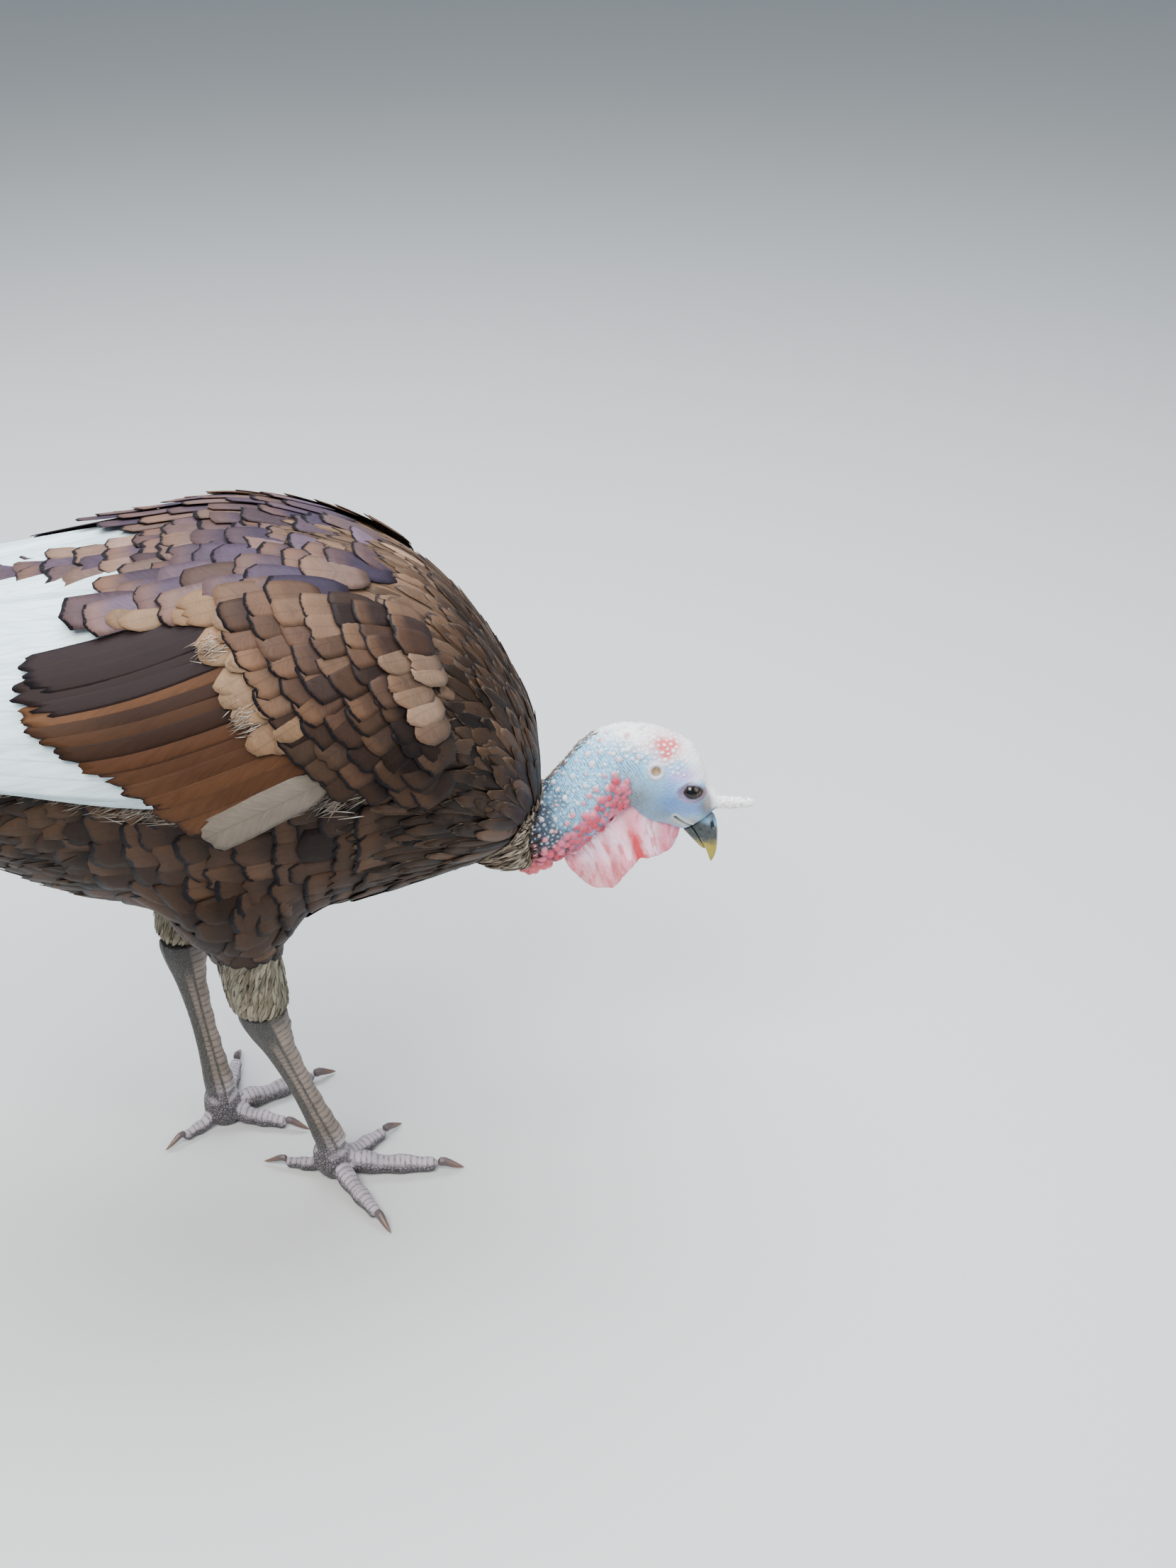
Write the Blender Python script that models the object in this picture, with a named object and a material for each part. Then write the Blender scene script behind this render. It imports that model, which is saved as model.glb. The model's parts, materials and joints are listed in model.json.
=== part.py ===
"""Life-size still model of a domestic turkey, standing with its head lowered to feed.

Metres, +Z up, +X towards the bill, +Y to the bird's left. The floor is z = 0, and the
origin lies under the middle of the bird's box.
"""

import math
from collections import namedtuple

import bmesh
import bpy
import numpy as np
from mathutils import Vector

# Fits and thicknesses
GAP = 0.0003
VANE_THICKNESS = 0.0008
LAYER = VANE_THICKNESS + GAP
END = 1e-6

# Cross-sections of the feathered body, tail root to breast
Ring = namedtuple("Ring", "x half_width top bottom widest")
BODY = (
    Ring(-0.173, 0.022, 0.440, 0.400, 0.420),
    Ring(-0.133, 0.055, 0.462, 0.365, 0.415),
    Ring(-0.073, 0.088, 0.468, 0.312, 0.400),
    Ring(-0.003, 0.115, 0.474, 0.268, 0.385),
    Ring(0.067, 0.130, 0.484, 0.242, 0.375),
    Ring(0.137, 0.135, 0.494, 0.232, 0.370),
    Ring(0.197, 0.130, 0.484, 0.236, 0.365),
    Ring(0.247, 0.113, 0.462, 0.243, 0.355),
    Ring(0.282, 0.090, 0.427, 0.248, 0.340),
    Ring(0.307, 0.060, 0.385, 0.256, 0.322),
    Ring(0.320, 0.027, 0.347, 0.285, 0.315),
)
BODY_FRONT = 0.3245

# The surface that the outside of a folded wing follows: flank first, then past the rump
FLANK = (
    Ring(-0.330, 0.045, 0.425, 0.300, 0.385),
    Ring(-0.250, 0.060, 0.445, 0.300, 0.392),
    Ring(-0.170, 0.080, 0.462, 0.300, 0.395),
    Ring(-0.090, 0.103, 0.470, 0.280, 0.395),
    Ring(-0.003, 0.127, 0.480, 0.260, 0.387),
    Ring(0.067, 0.142, 0.490, 0.230, 0.377),
    Ring(0.137, 0.147, 0.500, 0.210, 0.372),
    Ring(0.197, 0.142, 0.490, 0.210, 0.366),
    Ring(0.247, 0.125, 0.468, 0.220, 0.356),
    Ring(0.285, 0.095, 0.427, 0.240, 0.340),
)

# The head's own frame: its origin lies just under the eyes, and it is turned and rolled to the right
EYE_MIDDLE = Vector((0.4247, -0.0109, 0.2781))
HEAD_FORWARD = Vector((0.985, -0.174, 0.0))
HEAD_UP = Vector((0.0594, 0.3368, 0.9397))
HEAD_LEFT = Vector((0.163, 0.925, -0.342))

# Sections along neck and head: place in the head's frame, slope in degrees, then radii
Slice = namedtuple("Slice", "forward height slope up down side swing")
FEATHERED_NECK = (
    Slice(-0.172, 0.006, -10, 0.030, 0.030, 0.030, -0.018),
    Slice(-0.156, -0.002, -12, 0.035, 0.035, 0.036, -0.016),
    Slice(-0.140, -0.011, -10, 0.036, 0.037, 0.037, -0.013),
    Slice(-0.126, -0.018, -3, 0.034, 0.037, 0.034, -0.010),
    Slice(-0.116, -0.021, 6, 0.030, 0.033, 0.030, -0.007),
    Slice(-0.109, -0.020, 14, 0.024, 0.027, 0.024, -0.005),
)
BARE_NECK_AND_HEAD = (
    Slice(-0.136, -0.018, 0, 0.020, 0.020, 0.020, -0.010),
    Slice(-0.124, -0.020, 5, 0.025, 0.025, 0.026, -0.008),
    Slice(-0.112, -0.021, 14, 0.026, 0.026, 0.026, -0.005),
    Slice(-0.098, -0.019, 28, 0.026, 0.026, 0.0245, -0.002),
    Slice(-0.084, -0.010, 40, 0.025, 0.025, 0.0225, 0.0),
    Slice(-0.073, 0.001, 41, 0.025, 0.025, 0.021, 0.0),
    Slice(-0.063, 0.0115, 33, 0.0265, 0.026, 0.0205, 0.0),
    Slice(-0.053, 0.019, 18, 0.0285, 0.028, 0.020, 0.0),
    Slice(-0.042, 0.021, 0, 0.029, 0.028, 0.0195, 0.0),
    Slice(-0.030, 0.0155, -20, 0.033, 0.027, 0.019, 0.0),
    Slice(-0.019, 0.0075, -37, 0.035, 0.027, 0.0185, 0.0),
    Slice(-0.009, -0.001, -45, 0.027, 0.025, 0.0175, 0.0),
    Slice(-0.001, -0.009, -50, 0.018, 0.019, 0.0160, 0.0),
    Slice(0.005, -0.016, -57, 0.013, 0.015, 0.0130, 0.0),
    Slice(0.011, -0.026, -62, 0.009, 0.010, 0.007, 0.0),
)
HEAD_START = Slice(-0.048, 0.020, 9, 0, 0, 0, 0)
BILL_START = Slice(0.006, -0.0175, -58, 0, 0, 0, 0)
UPPER_BILL = (
    Slice(-0.004, -0.015, -57, 0.014, 0.0006, 0.008, 0.0),
    Slice(0.0026, -0.0230, -57, 0.0165, 0.0006, 0.0085, 0.0),
    Slice(0.0065, -0.0290, -60, 0.0140, 0.0006, 0.0075, 0.0),
    Slice(0.0100, -0.0350, -63, 0.0100, 0.0006, 0.0058, 0.0),
    Slice(0.0127, -0.0418, -68, 0.0060, 0.0005, 0.0036, 0.0),
    Slice(0.0146, -0.0480, -76, 0.0010, 0.0004, 0.0010, 0.0),
)
LOWER_BILL = (
    Slice(-0.0050, -0.0160, -57, 0.0004, 0.006, 0.006, 0.0),
    Slice(0.0018, -0.0240, -57, 0.0004, 0.0055, 0.0072, 0.0),
    Slice(0.0054, -0.0296, -59, 0.0004, 0.0042, 0.0060, 0.0),
    Slice(0.0086, -0.0350, -61, 0.0004, 0.0027, 0.0042, 0.0),
    Slice(0.0108, -0.0390, -64, 0.0003, 0.0008, 0.0010, 0.0),
)
EYE_RADIUS = 0.0076
EYE_SIDE = 0.0089
EYE = (0.0, 0.0035)
SNOOD_BASE = (0.0075, -0.0030)
SNOOD_TIP = (0.0440, -0.0057)
SNOOD_RADII = (0.0062, 0.0018)

# The wattle's edge along the throat and its free rim, chin to neck, in the head's frame
WATTLE_ROOT = (
    (-0.008, -0.021),
    (-0.016, -0.019),
    (-0.026, -0.013),
    (-0.037, -0.006),
    (-0.046, -0.002),
    (-0.054, -0.009),
    (-0.063, -0.020),
    (-0.072, -0.028),
    (-0.082, -0.036),
)
WATTLE_RIM = (
    (-0.0075, -0.0270),
    (-0.0140, -0.0375),
    (-0.0245, -0.0438),
    (-0.0370, -0.0465),
    (-0.0440, -0.0570),
    (-0.0527, -0.0650),
    (-0.0660, -0.0650),
    (-0.0775, -0.0580),
    (-0.0870, -0.0450),
)
WATTLE_THICKNESS = 0.0032

# Bare skin: bumps round the neck, the red ones along its front, and the bulb at its foot
CARUNCLES = 26
FRONT_CARUNCLES = 5
BULB = Slice(-0.1055, -0.0455, 0, 0.0068, 0.0068, 0.0068, 0.0)

# Places on the side of the face, in the head's frame; an opening's half sizes go along, up and in
Opening = namedtuple("Opening", "place rim rim_radius hollow")
OPENINGS = (
    Opening(EYE, (0.0078, 0.0057), 0.0016, (0.0064, 0.0043, 0.0050)),
    Opening((-0.0240, 0.0185), (0.0045, 0.0045), 0.0014, (0.0034, 0.0034, 0.0034)),
)
GAPE = (-0.0104, -0.0142)
GAPE_END = (0.0020, -0.0205)
NOSTRIL_TOP = (0.0130, -0.0183)
NOSTRIL_FOOT = (0.0165, -0.0243)

# Legs: foot centre and heading, hock, and where the drumstick leaves the flank
Leg = namedtuple("Leg", "side foot heading hock thigh")
LEGS = (
    Leg(
        side="right",
        foot=Vector((0.162, -0.038, 0.0)),
        heading=-8,
        hock=Vector((0.123, -0.050, 0.158)),
        thigh=Vector((0.112, -0.082, 0.300)),
    ),
    Leg(
        side="left",
        foot=Vector((0.084, 0.036, 0.0)),
        heading=24,
        hock=Vector((0.069, 0.044, 0.157)),
        thigh=Vector((0.086, 0.082, 0.300)),
    ),
)
ANKLE_HEIGHT = 0.030

# Sections of a limb: share of the way down it, and reach to the front, to the back and sideways
Limb = namedtuple("Limb", "at front back wide")
THIGH = (
    Limb(0.0, 0.058, 0.052, 0.044),
    Limb(0.22, 0.052, 0.047, 0.042),
    Limb(0.36, 0.043, 0.041, 0.036),
    Limb(0.44, 0.030, 0.028, 0.027),
    Limb(0.60, 0.024, 0.023, 0.023),
    Limb(0.80, 0.0225, 0.0215, 0.021),
    Limb(0.93, 0.0215, 0.020, 0.020),
)
SHANK = (
    Limb(-0.14, 0.010, 0.008, 0.009),
    Limb(-0.04, 0.0165, 0.0155, 0.0135),
    Limb(0.08, 0.0155, 0.0150, 0.0130),
    Limb(0.24, 0.0105, 0.0115, 0.0095),
    Limb(0.50, 0.0085, 0.0090, 0.0075),
    Limb(0.75, 0.0090, 0.0095, 0.0080),
    Limb(0.95, 0.0105, 0.0115, 0.0100),
    Limb(1.08, 0.0110, 0.0110, 0.0110),
    Limb(1.20, 0.0070, 0.0070, 0.0070),
)
SCUTE = 0.0009
TOE_SCUTE = 0.0006
Toe = namedtuple("Toe", "name angle length radius start_height")
TOES = (
    Toe("middle", 0, 0.076, 0.0085, 0.015),
    Toe("outer", 56, 0.061, 0.0078, 0.014),
    Toe("inner", -47, 0.050, 0.0076, 0.014),
    Toe("hind", -168, 0.036, 0.0062, 0.022),
)
CLAW_LENGTH = 0.017

# Tail: the flesh at its root, where it leaves the rump, its droop and its length
Lump = namedtuple("Lump", "x half_width top bottom")
TAIL_CORE = (
    Lump(-0.115, 0.050, 0.450, 0.375),
    Lump(-0.140, 0.050, 0.456, 0.370),
    Lump(-0.175, 0.045, 0.447, 0.372),
    Lump(-0.210, 0.038, 0.433, 0.372),
    Lump(-0.240, 0.024, 0.419, 0.376),
    Lump(-0.252, 0.010, 0.408, 0.384),
)
TAIL_ROOT = Vector((-0.150, 0.0, 0.424))
TAIL_DROOP = math.radians(14)
TAIL_LENGTH = 0.323

# Outlines of a blade: how far along it, and how much of its width there
FLIGHT_BLADE = ((0.0, 0.45), (0.45, 0.95), (0.90, 0.85), (1.0, 0.30))
COVERT_BLADE = ((0.0, 0.55), (0.45, 0.95), (0.85, 0.92), (1.0, 0.45))

model = bpy.data.collections.new("turkey")
cutters = bpy.data.collections.new("cutters")


def clear_scene():
    for old in list(bpy.data.objects):
        bpy.data.objects.remove(old)
    for collection in (model, cutters):
        bpy.context.scene.collection.children.link(collection)
    cutters.hide_render = True


def add_object(name, mesh, collection=model):
    """Links a closed bmesh as an object, turned so that its faces point outwards."""
    if mesh.calc_volume(signed=True) < 0:
        bmesh.ops.reverse_faces(mesh, faces=mesh.faces)
    data = bpy.data.meshes.new(name)
    mesh.to_mesh(data)
    mesh.free()
    obj = bpy.data.objects.new(name, data)
    collection.objects.link(obj)
    if collection is not model:
        obj.hide_render = True
        obj.display_type = "WIRE"
    return obj


def paint(obj, colour, roughness):
    material = bpy.data.materials.new(obj.name)
    material.use_nodes = True
    shader = material.node_tree.nodes["Principled BSDF"]
    shader.inputs["Base Color"].default_value = (*colour, 1.0)
    shader.inputs["Roughness"].default_value = roughness
    shader.inputs["Metallic"].default_value = 0.0
    obj.data.materials.clear()
    obj.data.materials.append(material)
    obj.data.shade_smooth()
    obj.data.set_sharp_from_angle(angle=math.radians(40))


def smooth(rows, at):
    """Values at a fractional index into rows, on a smooth curve through them."""
    rows = np.asarray(rows, float)
    last = len(rows) - 1
    at = min(max(at, 0.0), float(last))
    i = min(int(at), last - 1)
    t = at - i
    before, after = rows[max(i - 1, 0)], rows[min(i + 2, last)]
    a, b = rows[i], rows[i + 1]
    slope_a = (b - before) / (1 if i == 0 else 2)
    slope_b = (after - a) / (1 if i + 2 > last else 2)
    rise = t * t * (3 - 2 * t)
    return a + (b - a) * rise + slope_a * t * (1 - t) ** 2 - slope_b * t * t * (1 - t)


def index_of(stops, value):
    """The fractional index of a value among rising stops."""
    return float(np.interp(value, stops, range(len(stops))))


def form(name, segments, rings, place, collection=model):
    """A closed form: a sphere whose points move to place(t, turn), t from 0 to 1 pole to pole."""
    mesh = bmesh.new()
    bmesh.ops.create_uvsphere(mesh, u_segments=segments, v_segments=rings, radius=1.0)
    for vert in mesh.verts:
        t = math.acos(max(-1.0, min(1.0, vert.co.z))) / math.pi
        turn = math.atan2(vert.co.y, vert.co.x)
        vert.co = Vector(place(t, turn))
    bmesh.ops.triangulate(mesh, faces=mesh.faces)
    return add_object(name, mesh, collection)


def loft(name, sections, segments, rings, collection=model, relief=0.0):
    """A closed form through sections, each a centre with its up, down and side arms.

    Every second ring stands out by relief on the upper side, which raises scutes there.
    """
    rows = [np.concatenate(section) for section in sections]

    def place(t, turn):
        centre, up, down, side = smooth(rows, t * (len(rows) - 1)).reshape(4, 3)
        if t < END or t > 1 - END:
            return centre
        rise = math.sin(turn)
        out = side * math.cos(turn) + (up if rise > 0 else down) * abs(rise)
        raised = relief * (round(t * rings) % 2) * max(0.0, rise)
        return centre + out * (1 + raised / np.linalg.norm(out))

    return form(name, segments, rings, place, collection)


def settle(obj):
    """Makes the object's modifiers real."""
    bpy.context.view_layer.update()
    graph = bpy.context.evaluated_depsgraph_get()
    mesh = bpy.data.meshes.new_from_object(obj.evaluated_get(graph))
    obj.modifiers.clear()
    obj.data = mesh


def keep_largest(obj):
    """Keeps only the closed surface that holds the most."""
    mesh = bmesh.new()
    mesh.from_mesh(obj.data)
    bmesh.ops.triangulate(mesh, faces=mesh.faces)
    left = set(mesh.faces)
    islands = []
    while left:
        stack = [left.pop()]
        island = list(stack)
        while stack:
            for edge in stack.pop().edges:
                for face in edge.link_faces:
                    if face in left:
                        left.remove(face)
                        stack.append(face)
                        island.append(face)
        corners = np.array([[v.co for v in face.verts] for face in island])
        islands.append((np.linalg.det(corners).sum(), island))
    islands.sort(key=lambda pair: pair[0])
    for _, island in islands[:-1]:
        bmesh.ops.delete(mesh, geom=island, context="FACES")
    bmesh.ops.delete(mesh, geom=[v for v in mesh.verts if not v.link_faces], context="VERTS")
    mesh.to_mesh(obj.data)
    mesh.free()


def fuse(core, pieces):
    """Joins closed pieces to a core in one union, and removes them."""
    gathered = bpy.data.collections.new(core.name + "_pieces")
    bpy.context.scene.collection.children.link(gathered)
    for piece in pieces:
        for old in list(piece.users_collection):
            old.objects.unlink(piece)
        gathered.objects.link(piece)
    union = core.modifiers.new("fuse", "BOOLEAN")
    union.operation = "UNION"
    union.solver = "MANIFOLD"
    union.operand_type = "COLLECTION"
    union.collection = gathered
    settle(core)
    for piece in pieces:
        bpy.data.objects.remove(piece)
    bpy.data.collections.remove(gathered)
    keep_largest(core)
    return core


def carve(obj, *tools):
    """Cuts each tool from the object, and removes the tools."""
    for tool in tools:
        cut = obj.modifiers.new("cut", "BOOLEAN")
        cut.operation = "DIFFERENCE"
        cut.solver = "MANIFOLD"
        cut.object = tool
        settle(obj)
        bpy.data.objects.remove(tool)
    keep_largest(obj)
    return obj


def trim(obj, point, normal):
    """Cuts the object off flat at a plane, on the side that the normal points to."""
    mesh = bmesh.new()
    mesh.from_mesh(obj.data)
    geometry = mesh.verts[:] + mesh.edges[:] + mesh.faces[:]
    bmesh.ops.bisect_plane(
        mesh, geom=geometry, dist=1e-7, plane_co=point, plane_no=normal, clear_outer=True
    )
    rim = [edge for edge in mesh.edges if edge.is_boundary]
    bmesh.ops.holes_fill(mesh, edges=rim, sides=0)
    bmesh.ops.triangulate(mesh, faces=mesh.faces)
    bmesh.ops.recalc_face_normals(mesh, faces=mesh.faces)
    mesh.to_mesh(obj.data)
    mesh.free()
    return obj


def copy_of(obj, name, collection=model, mirror=False):
    """A separate copy of an object, if asked mirrored across the bird's middle plane."""
    mesh = bmesh.new()
    mesh.from_mesh(obj.data)
    if mirror:
        for vert in mesh.verts:
            vert.co.y = -vert.co.y
    return add_object(name, mesh, collection)


def room_for(obj):
    """A cutter a little larger than the object all round, so that a neighbour meets it with a gap."""
    mesh = bmesh.new()
    mesh.from_mesh(obj.data)
    mesh.normal_update()
    moves = [vert.normal * GAP * 1.1 for vert in mesh.verts]
    for vert, move in zip(mesh.verts, moves):
        vert.co += move
    return add_object(obj.name + "_room", mesh, cutters)


def ring_at(rings, x):
    """Half width, top, bottom and widest height of a set of rings at x."""
    stops = [ring.x for ring in rings]
    return smooth([ring[1:] for ring in rings], index_of(stops, x))


def on_rings(rings, x, angle):
    """A point on the surface that rings describe, at an angle from the top towards the right."""
    half_width, top, bottom, widest = ring_at(rings, x)
    rise = math.cos(angle)
    reach = top - widest if rise > 0 else widest - bottom
    return Vector((x, -half_width * math.sin(angle), widest + reach * rise))


def above_rings(rings, x, angle, lift):
    """The same point, moved outwards by lift."""
    step = 0.002
    along = on_rings(rings, x + step, angle) - on_rings(rings, x - step, angle)
    around = on_rings(rings, x, angle + step) - on_rings(rings, x, angle - step)
    return on_rings(rings, x, angle) + along.cross(around).normalized() * -lift


def blade(name, surface, root, tip, width, lift, blade_shape, tilt=0.0, bow=0.0):
    """A feather's vane laid on a surface between two of its places.

    surface(a, b, lift, across) gives the point across metres to one side of place (a, b),
    in the direction that is square to the line from root to tip.
    """
    rows = len(blade_shape) - 1
    mesh = bmesh.new()
    bmesh.ops.create_grid(mesh, x_segments=2, y_segments=rows, size=1.0)
    heights = (lift, lift) if isinstance(lift, float) else lift
    for vert in mesh.verts:
        side = vert.co.x
        along, share = blade_shape[round((vert.co.y + 1) / 2 * rows)]
        if along == 1.0 and abs(side) < 0.5:
            along = 1.03
        across = side * share * width / 2
        height = heights[0] + (heights[1] - heights[0]) * along - tilt * across
        vert.co = surface(root, tip, along, across, height, bow * math.sin(math.pi * along))
    bmesh.ops.triangulate(mesh, faces=mesh.faces)
    bmesh.ops.recalc_face_normals(mesh, faces=mesh.faces)
    bmesh.ops.solidify(mesh, geom=mesh.faces[:], thickness=VANE_THICKNESS)
    return add_object(name, mesh, cutters)


def on_flank(root, tip, along, across, height, bow):
    """Places a blade's point on the folded wing's surface; places are x and degrees from the top."""
    x = root[0] + (tip[0] - root[0]) * along
    angle = math.radians(root[1] + (tip[1] - root[1]) * along)
    radius = ring_at(FLANK, x)[0]
    run = np.array((tip[0] - root[0], math.radians(tip[1] - root[1]) * radius))
    run /= np.linalg.norm(run)
    offset = across + bow
    return above_rings(FLANK, x - run[1] * offset, angle + run[0] * offset / radius, height)


def on_tail(root, tip, along, across, height, bow):
    """Places a blade's point in the tail; places are distance from the root and distance to the left."""
    reach = root[0] + (tip[0] - root[0]) * along
    aside = root[1] + (tip[1] - root[1]) * along + across + bow
    sag = 0.16 * reach * reach
    axis = Vector((-math.cos(TAIL_DROOP), 0.0, -math.sin(TAIL_DROOP)))
    normal = Vector((-math.sin(TAIL_DROOP), 0.0, math.cos(TAIL_DROOP)))
    return TAIL_ROOT + axis * reach + Vector((0.0, aside, 0.0)) + normal * (height - sag)


def in_head(forward, height, left=0.0):
    return EYE_MIDDLE + HEAD_FORWARD * forward + HEAD_UP * height + HEAD_LEFT * left


def swell(name, centre, axes, segments, rings, collection=cutters):
    """An ellipsoid on three half axes."""

    def place(t, turn):
        ring = math.sin(math.pi * t)
        return (
            centre
            - axes[0] * math.cos(math.pi * t)
            + axes[1] * ring * math.cos(turn)
            + axes[2] * ring * math.sin(turn)
        )

    return form(name, segments, rings, place, collection)


def surface_of(obj, origin, direction):
    """Where a line of sight from outside first meets the object, and which way it faces there."""
    bpy.context.view_layer.update()
    _, point, normal, _ = obj.ray_cast(origin, direction)
    return point, normal


def side_of(obj, place, side):
    """The point on one side of the head at a place in its frame, with the way that side faces."""
    outside = in_head(*place, side * 0.05)
    return surface_of(obj, outside, HEAD_LEFT.normalized() * -side)


def slice_arms(part):
    """A slice's centre and its up, down and side arms in world coordinates."""
    slope = math.radians(part.slope)
    up = HEAD_UP * math.cos(slope) - HEAD_FORWARD * math.sin(slope)
    centre = in_head(part.forward, part.height, part.swing)
    return tuple(np.array(v) for v in (centre, up * part.up, -up * part.down, HEAD_LEFT * part.side))


def slice_plane(part, ahead=0.0):
    """A point and the forward direction of the plane that a slice lies in."""
    slope = math.radians(part.slope)
    forward = HEAD_FORWARD * math.cos(slope) + HEAD_UP * math.sin(slope)
    return in_head(part.forward, part.height) + forward * ahead, forward


def make_torso():
    back = BODY[0].x

    def place(t, turn):
        x = back + (BODY_FRONT - back) * (1 - math.cos(math.pi * t)) / 2
        if t < END or t > 1 - END:
            return Vector((x, 0.0, ring_at(BODY, x)[3]))
        return on_rings(BODY, x, turn)

    return form("torso", 22, 20, place)


def rounded(value, power):
    return math.copysign(abs(value) ** power, value)


def make_wing(torso):
    """The right wing, folded: a shoulder from which the tiers of feathers run back."""

    def place(t, turn):
        ahead = rounded(-math.cos(math.pi * t), 0.7)
        ring = abs(math.sin(math.pi * t)) ** 0.7
        down = ring * rounded(math.cos(turn), 0.7)
        out = ring * rounded(math.sin(turn), 0.7)
        x = 0.196 + 0.071 * ahead + 0.020 * down
        angle = math.radians(51 + 34 * down)
        thickness = 0.0155 + 0.0030 * down
        lift = -0.014 + out * (thickness if out > 0 else 0.008)
        return above_rings(FLANK, x, angle, lift)

    core = form("wing_right", 16, 12, place)
    vanes = []
    for k in range(4):
        root = (0.185, 80 - 1.2 * k)
        tip = (-0.165 - 0.013 * k, 84 - 4.4 * k)
        vanes.append(blade("primary", on_flank, root, tip, 0.030, -0.009 + LAYER * k, FLIGHT_BLADE))
    for k in range(7):
        root = (0.140 + 0.0068 * k, 24 + 9.3 * k)
        tip = (-0.135 + 0.0098 * k, 18 + 10.8 * k)
        level = -0.0024 - 0.0032 * max(0, 2 - k)
        vanes.append(blade("secondary", on_flank, root, tip, 0.036, level, FLIGHT_BLADE, 0.07))
    for k in range(10):
        share = 0.133 * k
        root = (0.134 + 0.046 * share, 35 + 36 * share)
        tip = (0.011 + 0.085 * max(0.0, (share - 0.35) / 0.65) ** 1.2, 47 + 43 * share - 5 * share**2)
        vanes.append(blade("greater_covert", on_flank, root, tip, 0.0238, 0.0014, COVERT_BLADE, 0.11))
    for k in range(5):
        share = k / 4
        root = (0.160 + 0.045 * share, 33 + 38 * share)
        tip = (0.083 + 0.064 * share, 36 + 37 * share)
        level = (0.0010, 0.0046)
        vanes.append(blade("median_covert", on_flank, root, tip, 0.034, level, COVERT_BLADE, 0.09))
    fuse(core, vanes)
    return carve(core, room_for(torso))


def make_tail(torso):
    sections = []
    for lump in TAIL_CORE:
        half_height = np.array((0, 0, (lump.top - lump.bottom) / 2))
        centre = np.array((lump.x, 0, (lump.top + lump.bottom) / 2))
        sections.append((centre, half_height, -half_height, np.array((0, lump.half_width, 0))))
    core = loft("tail", sections, 12, 8)
    vanes = []
    for k in range(7):
        for side in (-1, 1):
            level = -LAYER * (2 * k + (side > 0))
            root = (0.02, side * (0.002 + 0.0028 * k))
            tip = (TAIL_LENGTH - 0.005 * k, side * (0.003 + 0.0075 * k))
            vanes.append(blade("rectrix", on_tail, root, tip, 0.048, level, FLIGHT_BLADE))
    for base, reach, count, spread in ((0.0095, 0.190, 2, 0.016), (0.0150, 0.125, 1, 0.020)):
        for j in range(-count, count + 1):
            level = base - LAYER * (2 * abs(j) + (j < 0))
            root = (0.015, 0.006 * j)
            tip = (reach - 0.008 * abs(j), spread * j)
            vanes.append(blade("tail_covert", on_tail, root, tip, 0.030, level, COVERT_BLADE))
    for j in range(-1, 2):
        level = -0.0200 - LAYER * (2 * abs(j) + (j < 0))
        root, tip = (0.02, 0.010 * j), (0.15, 0.020 * j)
        vanes.append(blade("vent", on_tail, root, tip, 0.036, level, COVERT_BLADE))
    fuse(core, vanes)
    return carve(core, room_for(torso))


def make_neck_and_head(torso):
    """The feathered neck, the bare neck and the head, parted where one becomes the next."""
    lower = loft("neck_lower", [slice_arms(s) for s in FEATHERED_NECK], 18, 10)
    head = loft("head", [slice_arms(s) for s in BARE_NECK_AND_HEAD], 16, 24)
    upper = copy_of(head, "neck_upper")
    fuse(upper, caruncles_on(upper))
    point, forward = slice_plane(HEAD_START, GAP / 2)
    trim(head, point, -forward)
    point, forward = slice_plane(HEAD_START, -GAP / 2)
    trim(upper, point, forward)
    point, forward = slice_plane(BILL_START, -GAP / 2)
    trim(head, point, forward)
    carve(upper, room_for(lower), room_for(torso))
    carve(lower, room_for(torso))
    return lower, upper, head


def caruncles_on(neck):
    """Bumps all round the neck, larger towards its foot and front, and sunk by half."""
    rows = [np.concatenate(slice_arms(s)) for s in BARE_NECK_AND_HEAD]
    spots = []
    for i in range(CARUNCLES):
        turn = math.radians(137.5 * i)
        if math.sin(turn) > -0.72:
            station = 2.4 + 5.0 * (i + 0.5) / CARUNCLES
            spots.append((station, turn, 0.0031 - 0.0002 * station - 0.0006 * math.sin(turn)))
    for i in range(FRONT_CARUNCLES):
        for side in (-1, 1):
            turn = math.radians(-90 + side * (32 - 1.5 * i))
            spots.append((2.6 + 0.80 * i, turn, 0.0044 - 0.0003 * i))
    bumps = []
    for station, turn, radius in spots:
        centre, up, down, side = smooth(rows, station).reshape(4, 3)
        rise = math.sin(turn)
        out = Vector(side * math.cos(turn) + (up if rise > 0 else down) * abs(rise))
        point, normal = surface_of(neck, Vector(centre) + out * 2, -out.normalized())
        across = normal.orthogonal().normalized() * radius
        axes = (normal * radius, across, across.cross(normal))
        bumps.append(swell("caruncle", point, axes, 6, 4))
    centre, up, down, side = (Vector(v) for v in slice_arms(BULB))
    bumps.append(swell("bulb", centre, (side, up, HEAD_FORWARD * BULB.up * 1.2), 10, 8))
    return bumps


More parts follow.
